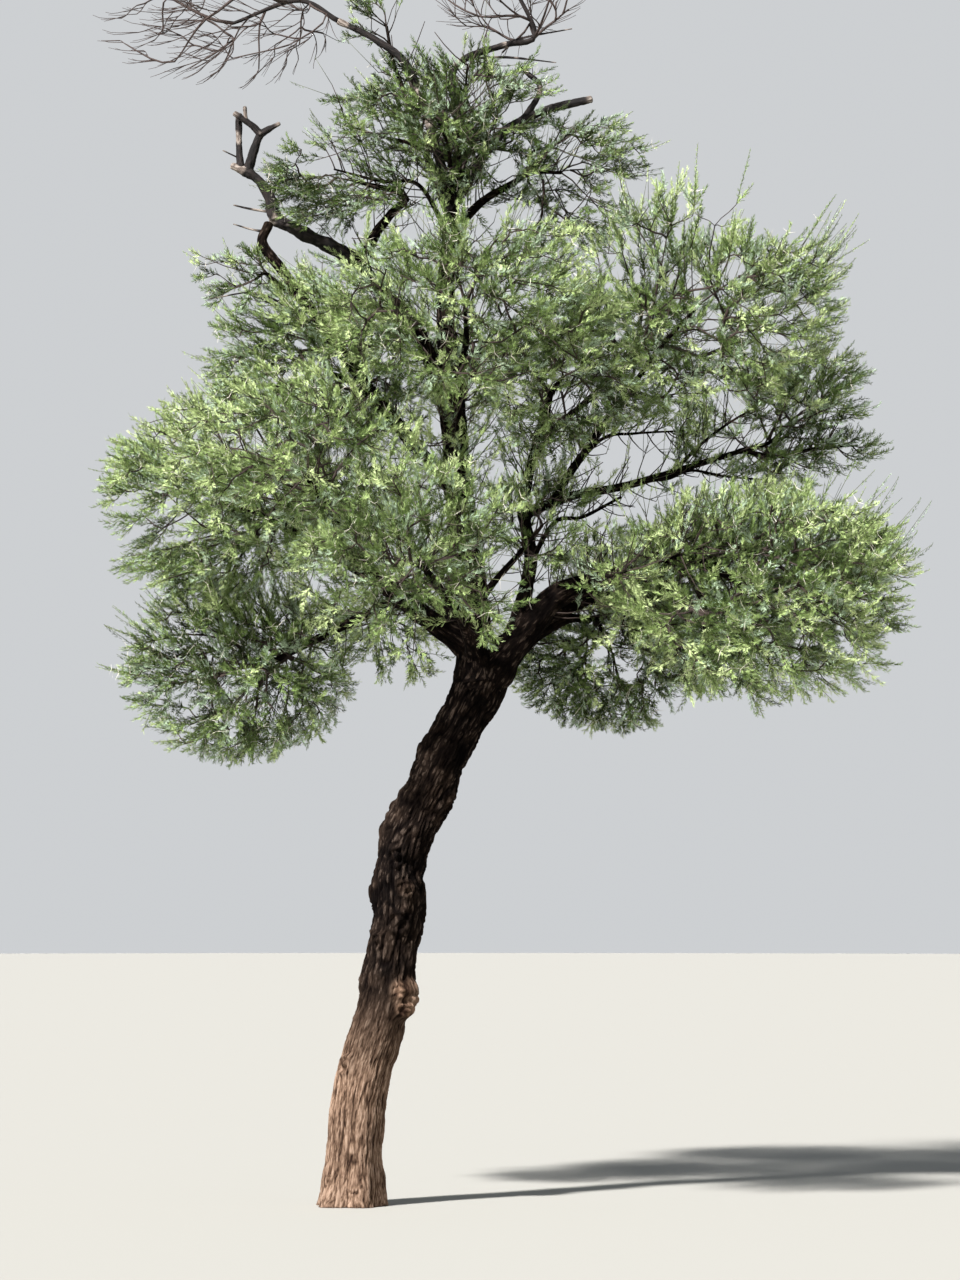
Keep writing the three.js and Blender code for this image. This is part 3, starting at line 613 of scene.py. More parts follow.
def limbSurface(name, path, radiusAt, shares, sides, relief):
    # ring i, side j: place(i) + radius * (cos, sin) across the path; the relief moves it in or out,
    # and the end is rounded off by rings that shrink as a quarter circle
    place, along = pathAt(path, shares)
    across, beside = crossAxes(along)
    turn = anglesRound(sides)
    out = np.cos(turn)[:, None] * across[:, None] + np.sin(turn)[:, None] * beside[:, None]
    radius = radiusAt(name, shares)
    run = shares * path["length"]
    unbent = np.stack(np.broadcast_arrays(
        radius[:, None] * np.cos(turn), radius[:, None] * np.sin(turn), run[:, None]), -1)
    spots = place[:, None] + out * radius[:, None, None]
    turns, runs = np.broadcast_arrays(turn, run[:, None])
    skin = {"spots": spots, "out": out, "radius": radius, "unbent": unbent, "turn": turns, "run": runs}
    push, plate, bareAndPaintedLight = relief(name, skin)
    spots = spots + out * push[..., None]
    angle = np.linspace(0, math.pi / 2, 7)[1:-1]
    rise = radius[-1] * wood["dome"]
    rings = ((spots[-1] - place[-1]) * np.cos(angle)[:, None, None]
             + along[-1] * (rise * np.sin(angle))[:, None, None])
    spots = np.concatenate([spots, place[-1] + rings])
    centres = np.array([place[0], place[-1] + along[-1] * rise])
    count = len(spots) * sides
    faces = [tubeFaces(len(spots), sides),
             capFaces(np.arange(sides), count, True),
             capFaces(np.arange(sides) + count - sides, count + 1, False)]

    def spread(values):
        # carried on over the rounded end and to the two centres
        values = np.concatenate([values, np.repeat(values[-1:], len(angle), 0)])
        ends = np.stack([values[0].mean(0), values[-1].mean(0)])
        return np.concatenate([values.reshape(count, *values.shape[2:]), ends])

    flat = np.concatenate([spots.reshape(-1, 3), centres])
    return flat, faces, {"plate": spread(plate), "bareAndPaintedLight": spread(bareAndPaintedLight), "unbent": spread(unbent)}


def joined(parts):
    # several surfaces as one: corner numbers move on by the corners before them
    spots, faceSets, fields, first = [], [], {}, 0
    for flat, faces, values in parts:
        spots.append(flat)
        faceSets += [face + first for face in faces]
        for key, value in values.items():
            fields.setdefault(key, []).append(value)
        first += len(flat)
    return np.concatenate(spots), faceSets, {key: np.concatenate(rows) for key, rows in fields.items()}


def trunkRelief(name, skin):
    # bark plates that change with height, flutes above the root flare, burls, and the forks' webs
    spots, unbent, turn = skin["spots"], skin["unbent"], skin["turn"]
    height = spots[..., 2]
    kinds = []
    for wide, long, depth, across, length, seed in (wood["lowBark"], wood["highBark"]):
        broad = barkFissures(unbent, wide, long, seed)
        narrow = barkFissures(unbent + 3.1, wide * 0.5, long * 0.55, seed + 4)
        broken = barkPlates(turn, skin["run"], unbent, across, length, seed + 9)
        plate = (0.55 * broad + 0.45 * narrow) * (0.72 + 0.28 * broken)
        kinds.append((plate, (plate - 1) * depth))
    rough = smoothStep(height + 0.12 * softNoise(unbent * 5, 5), *wood["change"])
    plate, push = (low * (1 - rough) + high * rough for low, high in zip(*kinds))
    lump = sum(size * softNoise(unbent * many, seed) for size, many, seed in wood["lumps"])
    depth, many, twist, reach = wood["flutes"]
    flutes = depth * np.cos(many * turn + 0.8 + height * twist) * np.exp(-np.maximum(height, 0) / reach)
    push = push + lump * (0.6 + 0.6 * rough) + flutes
    # painted sunlight on the burls' tops is gathered here, for the pale ramp
    paintedSunlight = 0
    for share, angle, rise, wide, high, pale in wood["burls"]:
        centre, along = pathAt(paths[name], share)
        way = np.array([math.cos(angle), math.sin(angle), 0.0])
        offset = spots - (centre + way * limbRadius(name, share))
        roundness = np.hypot(offset @ np.cross(along, way) / wide, offset @ along / high)
        bump = rise * (1 - smoothStep(roundness, 0, 1.25)) * ((skin["out"] @ way) > 0)
        folds = (0.010 * softNoise(offset * 34, 23)
                 + 0.008 * np.cos(roundness * 9 + 3 * softNoise(offset * 20, 24)))
        push = push + bump + folds * smoothStep(bump, 0, 0.5 * rise)
        plate = plate - 0.25 * smoothStep(bump, 0, 0.4 * rise) * (0.5 + 0.5 * softNoise(offset * 30, 25))
        paintedSunlight = paintedSunlight + pale * smoothStep(bump, 0, 0.7 * rise) * (0.8 + 0.4 * softNoise(offset * 22, 27))
    # painted sunlight on the foot of the trunk: the pale ramp fades into the dark one between the low and the
    # high height, its edge broken by noise; the burls' painted sunlight lies over it
    low, high, pale = wood["paintedSunlight"]
    bareAndPaintedLight = (1 - smoothStep(height + 0.20 * softNoise(unbent * 3.2, 26), low, high)) * pale
    bareAndPaintedLight = np.maximum(bareAndPaintedLight + (0.08 + 0.17 * bareAndPaintedLight) * softNoise(unbent * 4, 6), paintedSunlight)
    return push + forkSwell(spots, name), plate, bareAndPaintedLight


def boughRelief(name, skin):
    # ridges a twelfth of the girth wide, shallower on thinner limbs, lumps, and the forks' webs
    radius, unbent, seed = skin["radius"], skin["unbent"], 50 + len(name)
    shifted = unbent + len(name)
    girth = 2 * math.pi * radius.mean()
    least, greatest = wood["boughRidges"]
    wide = min(greatest, max(least, girth / 12))
    across, length = max(6, round(girth / 0.026)), max(0.05, girth * 0.2)
    plate = (0.5 * barkFissures(shifted, wide, wide * 4, seed)
             + 0.22 * barkFissures(shifted, wide / 2, wide * 2, seed + 4)
             + 0.28 * barkPlates(skin["turn"], skin["run"], shifted, across, length, seed + 9))
    lump = 0.06 * softNoise(unbent * 11 + len(name), 71) + 0.05 * softNoise(unbent * 26 + len(name), 72)
    push = radius[:, None] * (lump + wood["boughRelief"] * (plate - 1))
    if name in limbs:          # the stem of a mass has no fork
        push = push + forkSwell(skin["spots"], name)
    # painted shade: boughs and stems take the dark ramp nearly everywhere, varied a little by noise
    return push, plate, wood["boughPaintedShade"] + 0.1 * softNoise(unbent * 5 + len(name), 73)


def deadRelief(name, skin):
    # grooves that wind round the limb as it dries, knots, and a torn end
    radius, unbent, run = skin["radius"], skin["unbent"], skin["run"]
    few, many, winding = wood["deadGrooves"]
    wind = skin["turn"] + run * winding + 0.8 * softNoise(unbent * 14 + len(name), 81)
    groove = 0.5 + 0.5 * np.cos(wind * few) * np.cos(wind * many + 1.1)
    peeled = softNoise(unbent * 13 + 3 * len(name), 82) + 0.35 * softNoise(unbent * 31, 83)
    bare = smoothStep(peeled, 0.36, 0.55)
    knots = np.clip(softNoise(unbent * 17 + 2 * len(name), 84) - 0.3, 0, 1)
    crack = barkPlates(skin["turn"], run, unbent + len(name), 7, 0.07, 90 + len(name))
    grooved, knotted, sunk = wood["deadRelief"]
    push = radius[:, None] * (grooved * (groove - 0.5) + knotted * knots - sunk * bare
                              - sunk * (1 - crack) * (1 - bare))
    torn = smoothStep(run, run.max() - wood["tornEnd"], run.max())
    push = push + forkSwell(skin["spots"], name) * 0.7
    return push, 0.45 * groove + 0.55 * crack, np.maximum(bare, torn * 0.9)


def limbPiece(name, relief, step, least):
    # rings and sides chosen so that one mesh face is about one step wide and long
    path = paths[name]
    girth = 2 * math.pi * limbRadius(name, np.linspace(0, 1, 9)).max()
    sides = int(max(least, min(64, round(girth / step))))
    rings = int(max(8, round(path["length"] / (step * 1.15))))      # faces a little longer than wide
    return limbSurface(name, path, limbRadius, np.linspace(0, 1, rings), sides, relief)


def trunkPiece():
    # rings lie level at the ground and turn square to the trunk over the first 0.3 m
    path, sides = paths["trunk"], wood["trunkSides"]
    ground = np.interp(0, path["place"][:, 2], path["share"])
    rings = int(path["length"] * (1 - ground) / wood["trunkStep"])
    shares = np.linspace(ground, 1, rings)
    flat, faces, fields = limbSurface("trunk", path, limbRadius, shares, sides, trunkRelief)
    axisHeight = pathAt(path, shares)[0][:, 2][np.minimum(np.arange(len(flat) - 2) // sides, rings - 1)]
    level = smoothStep(axisHeight, 0, 0.3)
    flat[:-2, 2] = np.maximum(axisHeight + (flat[:-2, 2] - axisHeight) * level, 0)
    flat[-2, 2] = 0
    return flat, faces, fields


def stemPiece(name):
    # the bough carried on towards the middle of its mass; the bough's rounded end closes over its foot
    path = masses[name]["stem"]
    shares = np.linspace(0, 1, int(max(6, path["length"] / wood["stemStep"])))
    return limbSurface(name, path, stemRadius, shares, wood["stemSides"], boughRelief)


def woodMaterial(name, look):
    # tone = plate + grain, read through one ramp where bark holds and another where it is bare, which on
    # the living trunk is painted sunlight; the mesh's attributes carry plate, the share of the pale ramp
    # (bare wood, painted sunlight, painted shade), and the unbent place that the grain follows
    material = newMaterial(name, look["roughness"], look["specular"])

    def output(kind, settings, inputs, stops=(), socket=0):
        return addNode(material, kind, settings, inputs, stops).outputs[socket]

    def attribute(label, socket):
        return output("ShaderNodeAttribute", {"attribute_name": label}, {}, (), socket)

    def noise(place, scale, detail, roughness):
        return output("ShaderNodeTexNoise", {"noise_dimensions": "3D"},
                      {"Vector": place, "Scale": scale, "Detail": detail, "Roughness": roughness})

    def maths(operation, clamp, *values):
        return output("ShaderNodeMath", {"operation": operation, "use_clamp": clamp}, dict(enumerate(values)))

    place = attribute("unbent", "Vector")
    stretched = output("ShaderNodeVectorMath", {"operation": "MULTIPLY"},
                       {0: place, 1: (1.0, 1.0, look["along"])})
    grain = noise(stretched, *look["grain"])
    deep = maths("MULTIPLY_ADD", look["grainOnlyUp"], grain, *look["grainGain"])
    tone = maths("ADD", True, attribute("plate", "Fac"), deep)
    bareAndPaintedLight = attribute("bareAndPaintedLight", "Fac")
    if "patches" in look:
        patch = maths("MULTIPLY_ADD", True, noise(place, *look["patches"]), *look["patchGain"])
        bareAndPaintedLight = maths("ADD", True, bareAndPaintedLight, patch)
    barkAndShade, bareWoodAndSunlit = (output("ShaderNodeValToRGB", {}, {"Fac": tone}, look[key]) for key in ("barkAndShade", "bareWoodAndSunlit"))
    colour = output("ShaderNodeMix", {"data_type": "RGBA"}, {0: bareAndPaintedLight, 6: barkAndShade, 7: bareWoodAndSunlit}, (), 2)
    strength, distance = look["bump"]
    bump = output("ShaderNodeBump", {}, {"Strength": strength, "Distance": distance, "Height": grain})
    shader = material.node_tree.nodes["Principled BSDF"]
    material.node_tree.links.new(colour, shader.inputs["Base Color"])
    material.node_tree.links.new(bump, shader.inputs["Normal"])
    return material


# Living acacia bark, corky and dry: split into plates, grey-brown on their tops and nearly black in the
# fissures. Its dark ramp is the bark's own tone, made darker still over the upper trunk and the boughs as
# painted shade of the crown; its pale ramp is painted sunlight on the foot of the trunk and the burls' tops.
# Cork fibres are under 1 mm; at this distance they are drawn about 9 mm wide and 40 mm long.
barkMaterial = woodMaterial("acaciaBark", {
    "roughness": 0.93, "specular": 0.02,
    "grain": (110.0, 5.0, 0.62), "along": 0.22, "grainGain": (1.5, -0.80), "grainOnlyUp": False,
    "patches": (9.0, 3.0, 0.55), "patchGain": (0.4, -0.20),
    "barkAndShade": [(0.0, "#050303"), (0.5, "#0C0908"), (0.85, "#191310"), (1.0, "#3B322C")],
    "bareWoodAndSunlit": [(0.0, "#291D17"), (0.35, "#554235"), (0.70, "#7E6655"), (1.0, "#9F8673")],
    "bump": (0.8, 0.007),
})
# Dead acacia wood, sun-dried: dark bark left in strips, and silvery grain where it has fallen off.
# Wood grain is under 1 mm; it is drawn about 5 mm wide here, so that it shows.
deadMaterial = woodMaterial("deadAcaciaWood", {
    "roughness": 0.85, "specular": 0.25,
    "grain": (190.0, 4.0, 0.6), "along": 0.12, "grainGain": (0.9, -0.42), "grainOnlyUp": True,
    "barkAndShade": [(0.0, "#0A0808"), (0.5, "#181413"), (1.0, "#2B2422")],
    "bareWoodAndSunlit": [(0.0, "#3C332F"), (0.5, "#695E56"), (1.0, "#A0948A")],
    "bump": (0.5, 0.0025),
})

flat, faces, fields = trunkPiece()
meshPiece("trunk_bark", flat, faces, barkMaterial, "bark", ["trunk"], fields)
flat, faces, fields = joined(
    [limbPiece(name, boughRelief, wood["boughStep"], wood["boughSides"]) for name in liveLimbs]
    + [limbPiece(name, boughRelief, wood["boughStep"], wood["branchSides"]) for name in sideBranches])
meshPiece("bough_bark", flat, faces, barkMaterial, "bark", liveLimbs, fields)
flat, faces, fields = joined(
    [limbPiece(name, deadRelief, wood["deadStep"], wood["deadSides"]) for name in deadLimbs]
    + [limbPiece(name, deadRelief, wood["deadStep"], wood["branchSides"]) for name in deadTwigs])
meshPiece("dead_limbs", flat, faces, deadMaterial, "dead_wood", deadLimbs, fields)


# Twigs: thin curved tubes, many at a time.

curveKeys = ("a", "b", "wayA", "wayB")      # both ends of a twig, and its direction at each


def curveAt(a, b, wayA, wayB, t):
    # (2t^3 - 3t^2 + 1) a + (t^3 - 2t^2 + t) L wayA + (3t^2 - 2t^3) b + (t^3 - t^2) L wayB, with
    # L = |b - a|, and the direction of its slope
    reach = np.linalg.norm(b - a, axis=-1, keepdims=True)
    t = t[..., None]
    place = ((2 * t**3 - 3 * t**2 + 1) * a + (t**3 - 2 * t**2 + t) * reach * wayA
             + (3 * t**2 - 2 * t**3) * b + (t**3 - t**2) * reach * wayB)
    slope = ((6 * t**2 - 6 * t) * a + (3 * t**2 - 4 * t + 1) * reach * wayA
             + (6 * t - 6 * t**2) * b + (3 * t**2 - 2 * t) * reach * wayB)
    return place, unit(slope)


def twigsAt(rows, picked, t):
    # places on the picked twigs at t, and their directions there
    return curveAt(*(rows[key][picked] for key in curveKeys), t)


def squareTo(along, loose, lift=0.0):
    # the part of loose vectors that is square to the limb, turned up a little
    return unit(loose - along * (loose * along).sum(1, keepdims=True) + lift * upward)


def twigTubes(rows, sides, steps):
    # for every row one tube: rings along its Hermite curve, radius falling evenly from root to tip
    curve = [rows[key][:, None] for key in curveKeys]
    count = len(rows["a"])
    t = np.broadcast_to(np.linspace(0, 1, steps + 1), (count, steps + 1))
    place, along = curveAt(*curve, t)
    chord = unit(rows["b"] - rows["a"])
    start = np.where(np.abs(chord[:, 2:]) < 0.8, [[0.0, 0.0, 1.0]], [[1.0, 0.0, 0.0]])
    across = unit(start[:, None] - along * (along * start[:, None]).sum(-1, keepdims=True))
    beside = np.cross(along, across)
    radius = rows["radiusA"][:, None] * (1 - t) + rows["radiusB"][:, None] * t
    turn = anglesRound(sides)
    spots = place[:, :, None] + radius[..., None, None] * (
        np.cos(turn)[:, None] * across[:, :, None] + np.sin(turn)[:, None] * beside[:, :, None])
    base = (np.arange(count) * (steps + 1) * sides)[:, None, None]
    walls = (tubeFaces(steps + 1, sides)[None] + base).reshape(-1, 4)
    ring = np.arange(sides)
    ends = np.stack([ring[::-1], ring + steps * sides])[None] + base
    return spots.reshape(-1, 3), [walls, ends.reshape(-1, sides)]


# Open sky seen through the crown from the front: x, z, half width, half height, tilt, in metres on
# the plane y = 0.
skyGaps = [
    (1.42, 3.73, 0.17, 0.075, -0.10), (1.20, 3.64, 0.10, 0.08, 0.20), (1.22, 3.42, 0.10, 0.045, 0.20),
    (1.46, 3.45, 0.14, 0.055, 0.10), (1.74, 3.60, 0.12, 0.045, 0.00), (1.81, 3.75, 0.09, 0.035, 0.10),
    (1.98, 3.79, 0.08, 0.030, 0.20), (2.43, 3.51, 0.09, 0.05, 0.10), (1.87, 3.95, 0.08, 0.045, 0.20),
    (0.74, 3.10, 0.07, 0.12, 0.00), (0.93, 3.11, 0.05, 0.09, 0.00), (0.84, 5.40, 0.07, 0.05, 0.00),
    (-0.16, 4.80, 0.24, 0.06, 0.20), (0.12, 4.86, 0.12, 0.08, 0.30), (0.66, 4.84, 0.08, 0.09, 0.00),
    (0.86, 4.88, 0.09, 0.05, 0.20), (1.06, 3.95, 0.10, 0.05, 0.00), (-1.28, 3.98, 0.42, 0.20, 0.55),
    (1.17, 5.47, 0.22, 0.10, 0.10), (1.06, 5.62, 0.16, 0.10, 0.00), (0.61, 5.49, 0.04, 0.06, 0.00),
    (0.65, 4.99, 0.07, 0.04, 0.10), (0.31, 4.84, 0.09, 0.06, 0.00), (0.82, 5.74, 0.16, 0.10, 0.00),
    (0.74, 5.17, 0.06, 0.05, 0.30), (-0.05, 5.62, 0.20, 0.10, 0.50), (1.80, 4.96, 0.10, 0.10, 0.00),
    (2.16, 4.92, 0.16, 0.14, -0.50), (1.42, 5.00, 0.06, 0.07, 0.00), (0.48, 5.84, 0.36, 0.15, 0.00),
    (1.70, 4.54, 0.044, 0.064, 0.00), (1.78, 4.35, 0.039, 0.079, 0.00), (1.69, 4.26, 0.039, 0.064, 0.00),
    (2.10, 4.25, 0.064, 0.044, 0.00), (1.88, 4.61, 0.059, 0.044, 0.00), (2.08, 4.46, 0.049, 0.035, 0.00),
    (2.24, 4.42, 0.059, 0.039, 0.00), (1.43, 4.37, 0.035, 0.035, 0.00), (2.06, 3.91, 0.044, 0.030, 0.00),
    (0.68, 5.52, 0.054, 0.035, 0.00), (0.42, 5.18, 0.035, 0.030, 0.00), (0.29, 5.01, 0.044, 0.054, 0.00),
    (0.78, 5.12, 0.040, 0.034, 0.00), (0.97, 5.29, 0.054, 0.049, 0.00), (1.09, 5.23, 0.044, 0.064, 0.00),
    (-0.08, 3.70, 0.054, 0.042, 0.00), (-0.46, 3.78, 0.040, 0.038, 0.00), (-0.35, 3.78, 0.032, 0.026, 0.00),
    (-0.07, 4.15, 0.050, 0.026, 0.00), (-0.34, 4.08, 0.044, 0.030, 0.00), (-0.65, 3.78, 0.040, 0.030, 0.00),
]
viewer = np.array([0.632, -22.4, 1.70])


def inSkyGap(spots):
    # each spot is carried along its line of sight to the plane y = 0, and tested against the gaps,
    # whose edges wander with the noise
    far = -viewer[1] / (spots[..., 1] - viewer[1])
    x = viewer[0] + (spots[..., 0] - viewer[0]) * far
    z = viewer[2] + (spots[..., 2] - viewer[2]) * far
    edge = 1 + 0.40 * softNoise(spots * 13, 4)
    hit = np.zeros(x.shape, bool)
    for gapX, gapZ, wide, high, tilt in skyGaps:
        u = (x - gapX) * math.cos(tilt) + (z - gapZ) * math.sin(tilt)
        v = (z - gapZ) * math.cos(tilt) - (x - gapX) * math.sin(tilt)
        hit |= (u / wide) ** 2 + (v / high) ** 2 < edge
    return hit


foliage = {                    # metres, and shares without a unit
    "reach": 0.02,             # how far anything may stand past the solids' box, of the box's sides
    "perCubicMetre": 400,      # places for twig ends in a cubic metre of crown, with the open layers
    "barePerCubicMetre": 330,
    "tufts": (2.3, 2.3, 6.0),  # flat tufts of foliage in a metre: across, along the view, up
    "openBelow": -0.13,        # tufts whose noise lies under this stay open
    "innerShare": 0.25, "bareInner": 0.1,      # the open heart of a mass, as a share of its size
    "spread": 0.93,            # how far the fine twigs reach, as a share of a mass's half sizes
    "ripple": 0.11,            # the crown's bumps, as a share of a mass's size
    "sideRoom": 0.16, "spotRoom": 0.10, "tipRoom": 0.06,      # kept free inside the reach
    "overlap": 0.03,           # how far fine twigs may pass the plane to the next mass
    "woodRoom": 0.02,          # kept clear round the limbs
    "knotStep": 0.07,          # from knot to knot on stems and first twigs
    "leafyGrowth": (0.6, 0.28), "bareGrowth": (1.6, 0.06),    # cost of a fine twig's turn, and its rise
    "pathCost": 0.15,          # cost of the way to the knot that a fine twig leaves
    "halfWay": 0.55,           # the second knot on each fine twig
    "rootRadius": (0.0026, 0.42), "tipRadius": (0.0023, 0.40),      # times the load to this power
    "shoots": (2, 4),          # leafy shoots at each twig end
    "shootLength": (0.10, 0.20),
    "shootRadius": 0.0020,
    # how much a shoot follows its twig, turns outwards, turns up, and leans with its mass
    "shootWay": (0.75, 0.5, 0.20, 0.7), "spikeWay": (0.4, 0.65, 0.6, 0.8),
    "bareSpikeWay": (0.4, 0.65, 0.1, 0.8),
    "spikeLength": (0.24, 0.50),          # of the long shoots on the outside of the crown
    "spikeShare": 0.26,        # how many of the shoots there are long
    "mostOut": (1.28, 1.02),   # how far out long and other shoots end, in half sizes of the mass
    "spikeLeaves": 0.58,       # the size of their leaves, which are young
    "strays": 0.15,            # how many shoots stay where the sky is open, so that no gap is clean
    "leafStep": 0.0096,
    "leafLength": (0.029, 0.047),
    "leafAngle": (0.36, 0.85), # from the shoot, in radians
    "thornShare": 0.55,        # how many shoots carry a pair of thorns
    "thornLength": (0.035, 0.060),
}

cadSides = np.array(cadBox[1]) - np.array(cadBox[0])
reachLow = np.array(cadBox[0]) - cadSides * foliage["reach"]
reachHigh = np.array(cadBox[1]) + cadSides * foliage["reach"]
evenSteps = (0.8191725134, 0.6710436067, 0.5497004779)      # 1 / g, 1 / g^2, 1 / g^3, with g^4 = g + 1


def keptIn(spots, room):
    # spots drawn back to so much inside the reach
    return np.clip(spots, reachLow + room, reachHigh - room)


def evenSpots(mass, count, rng):
    # an even sequence over the mass: level, turn and depth step by irrational shares
    i = np.arange(1, count * 3)
    level, turn, depth = ((seed + step * i) % 1 for seed, step in zip(rng.random(3), evenSteps))
    level = 2 * level - 1
    turn = 2 * math.pi * turn
    ring = np.sqrt(1 - level**2)
    way = np.stack([ring * np.cos(turn), ring * np.sin(turn), level], -1)
    inner = foliage["bareInner" if mass["bare"] else "innerShare"] ** 3
    out = np.cbrt(inner + (1 - inner) * depth)
    swell = foliage["spread"] * (1 + foliage["ripple"] * softNoise(way * 2.4 + mass["key"], 3))
    offset = way * mass["size"] * (out * swell)[:, None]
    full = mass["size"] * foliage["spread"]          # a side that would pass the reach is drawn in whole
    roomHigh = (reachHigh - foliage["sideRoom"] - mass["middle"]) / full
    roomLow = (mass["middle"] - reachLow - foliage["sideRoom"]) / full
    spots = mass["middle"] + offset * np.clip(np.where(offset > 0, roomHigh, roomLow), 0.3, 1)
    low, high = reachLow + foliage["spotRoom"], reachHigh - foliage["spotRoom"]
    kept = isMine(mass, spots, -foliage["overlap"]) & np.all((spots > low) & (spots < high), axis=1)
    return spots[kept][:count]


def openSpots(mass, rng):
    # the even spots that lie clear of the wood, outside the sky gaps and in the tufts, the nearest first
    volume = 4 / 3 * math.pi * mass["size"].prod()
    density = foliage["barePerCubicMetre"] if mass["bare"] else foliage["perCubicMetre"] * mass["fuller"]
    spots = evenSpots(mass, int(density * volume), rng)
    keep = foliage["woodRoom"] < np.array([
        (gapsBetween(spot, spot + 1e-4, straight["a"], straight["b"]) - straight["radius"]).min()
        for spot in spots])
    if not mass["bare"]:
        tufts = spots * foliage["tufts"]
        tuft = softNoise(tufts, 12) + 0.4 * softNoise(tufts * 2.1, 13)
        keep &= ~inSkyGap(spots) & (tuft > foliage["openBelow"])
    spots = spots[keep]
    return spots[np.argsort(np.linalg.norm(spots - mass["foot"], axis=1))]


def firstKnots(mass, first):
    # knots along the stem and the first twigs: place, direction, and length of the way to them
    share = np.linspace(0.3, 1, max(3, int(mass["stem"]["length"] / foliage["knotStep"])))
    place, way = pathAt(mass["stem"], share)
    knots = [(place, way, share * mass["stem"]["length"])]
    for a, b, wayA, wayB in zip(*(first[key] for key in curveKeys)):
        reach = np.linalg.norm(b - a)
        share = np.linspace(0.25, 1, max(2, int(reach / foliage["knotStep"])))
        curve = [np.broadcast_to(v, (len(share), 3)) for v in (a, b, wayA, wayB)]
        base = np.linalg.norm(a - mass["foot"])
        knots.append((*curveAt(*curve, share), base + reach * share))
    return [np.concatenate(column) for column in zip(*knots)]


def fineTwigs(mass, first, rng):
    # every open spot is joined to the knot with the least distance * (1 + cost * turn) + cost * path,
    # and becomes a knot itself, with another half way; a twig thickens with the twigs that it bears
    spots = openSpots(mass, rng)
    turnCost, lift = foliage["bareGrowth" if mass["bare"] else "leafyGrowth"]
    knots = firstKnots(mass, first)
    used = len(knots[0])
    places, ways = np.zeros((2, used + 2 * len(spots), 3))
    lengths = np.zeros(len(places))
    owners = np.full(len(places), -1)
    places[:used], ways[:used], lengths[:used] = knots
    half = np.array([foliage["halfWay"]])
    rows = {"a": [], "b": [], "wayA": [], "wayB": [], "parent": []}
    for i, spot in enumerate(spots):
        offset = spot - places[:used]
        reach = np.linalg.norm(offset, axis=1)
        turn = 1 - (offset * unit(ways[:used] + mass["sweep"])).sum(1) / np.maximum(reach, 1e-6)
        tooNear = 9 * (reach < 0.03)
        best = int(np.argmin(reach * (1 + turnCost * turn) + foliage["pathCost"] * lengths[:used] + tooNear))
        way = offset[best] / reach[best]
        wayA = unit(0.8 * ways[best] + way + 0.3 * mass["sweep"])
        wayB = unit(way + lift * upward + 0.25 * unit(spot - mass["middle"]) + 0.5 * mass["sweep"])
        for key, value in zip(rows, (places[best].copy(), spot, wayA, wayB, owners[best])):
            rows[key].append(value)
        curve = [v[None] for v in (places[best], spot, wayA, wayB)]
        places[used], ways[used] = (value[0] for value in curveAt(*curve, half))
        places[used + 1], ways[used + 1] = spot, wayB
        lengths[used:used + 2] = lengths[best] + reach[best] * np.array([foliage["halfWay"], 1])
        owners[used:used + 2] = i
        used += 2
    rows = {key: np.array(value) for key, value in rows.items()}
    load = np.ones(len(spots))
    for i in range(len(spots) - 1, -1, -1):
        if rows["parent"][i] >= 0:
            load[rows["parent"][i]] += load[i]
    (rootSize, rootPower), (tipSize, tipPower) = foliage["rootRadius"], foliage["tipRadius"]
    rows["radiusA"] = rootSize * load**rootPower
    rows["radiusB"] = tipSize * np.maximum(load - 1, 1) ** tipPower
    return rows


# Side twigs that clothe a limb: from and to which share of its length, how many a metre, and how far
# they stand out, in metres.
sideTwigs = {
    "leader": (0.10, 0.97, 34, 0.34), "upright_bough": (0.18, 0.95, 32, 0.34),
    "long_right_bough": (0.05, 1.0, 40, 0.20), "right_upper_bough": (0.0, 1.0, 30, 0.26),
    "upper_back_bough": (0.1, 0.95, 22, 0.28), "right_main_bough": (0.42, 1.0, 60, 0.42),
    "right_back_bough": (0.3, 0.95, 16, 0.30), "inner_bough": (0.2, 1.0, 24, 0.24),
    "left_low_bough": (0.25, 0.95, 30, 0.32), "left_lower_bough": (0.3, 0.95, 28, 0.28),
    "left_front_bough": (0.3, 0.95, 22, 0.28), "left_back_bough": (0.2, 0.95, 18, 0.28),
    "left_mid_bough": (0.25, 0.95, 30, 0.30), "low_front_bough": (0.4, 0.95, 20, 0.28),
    "low_back_bough": (0.4, 0.95, 18, 0.28), "front_mid_bough": (0.2, 0.95, 22, 0.28),
    "back_mid_bough": (0.2, 0.95, 20, 0.28), "knot_bough": (0.30, 1.0, 40, 0.28),
    "tower_left_bough": (0.1, 1.0, 44, 0.26), "tower_right_bough": (0.3, 1.0, 28, 0.24),
    "hooked_bough": (0.10, 0.72, 28, 0.26), "shoulder_bough": (0.3, 1.0, 20, 0.2),
    "dead_arm_left": (0.02, 0.38, 20, 0.22), "dead_arm_right": (0.0, 0.50, 40, 0.24),
    "broken_stub": (0.05, 0.52, 34, 0.20), "spire_bough": (0.1, 1.0, 24, 0.24),
    "gap_fork": (0.05, 1.0, 44, 0.20), "gap_tip": (0.0, 1.0, 50, 0.22),
    "gap_low": (0.2, 1.0, 40, 0.20), "gap_up": (0.1, 1.0, 44, 0.20), "gap_under": (0.2, 1.0, 44, 0.18),
    "tower_low_left": (0.2, 1.0, 40, 0.30), "tower_high_left": (0.2, 1.0, 40, 0.32),
    "tower_front": (0.2, 1.0, 40, 0.32), "tower_top": (0.3, 1.0, 46, 0.26),
    "heart_front": (0.2, 1.0, 40, 0.34), "low_screen": (0.2, 1.0, 50, 0.32),
    "fork_screen": (0.25, 1.0, 60, 0.30),
}
moreOnStem = {"right_low": 64, "left_lower": 44, "left_outer": 40, "right_under": 44}
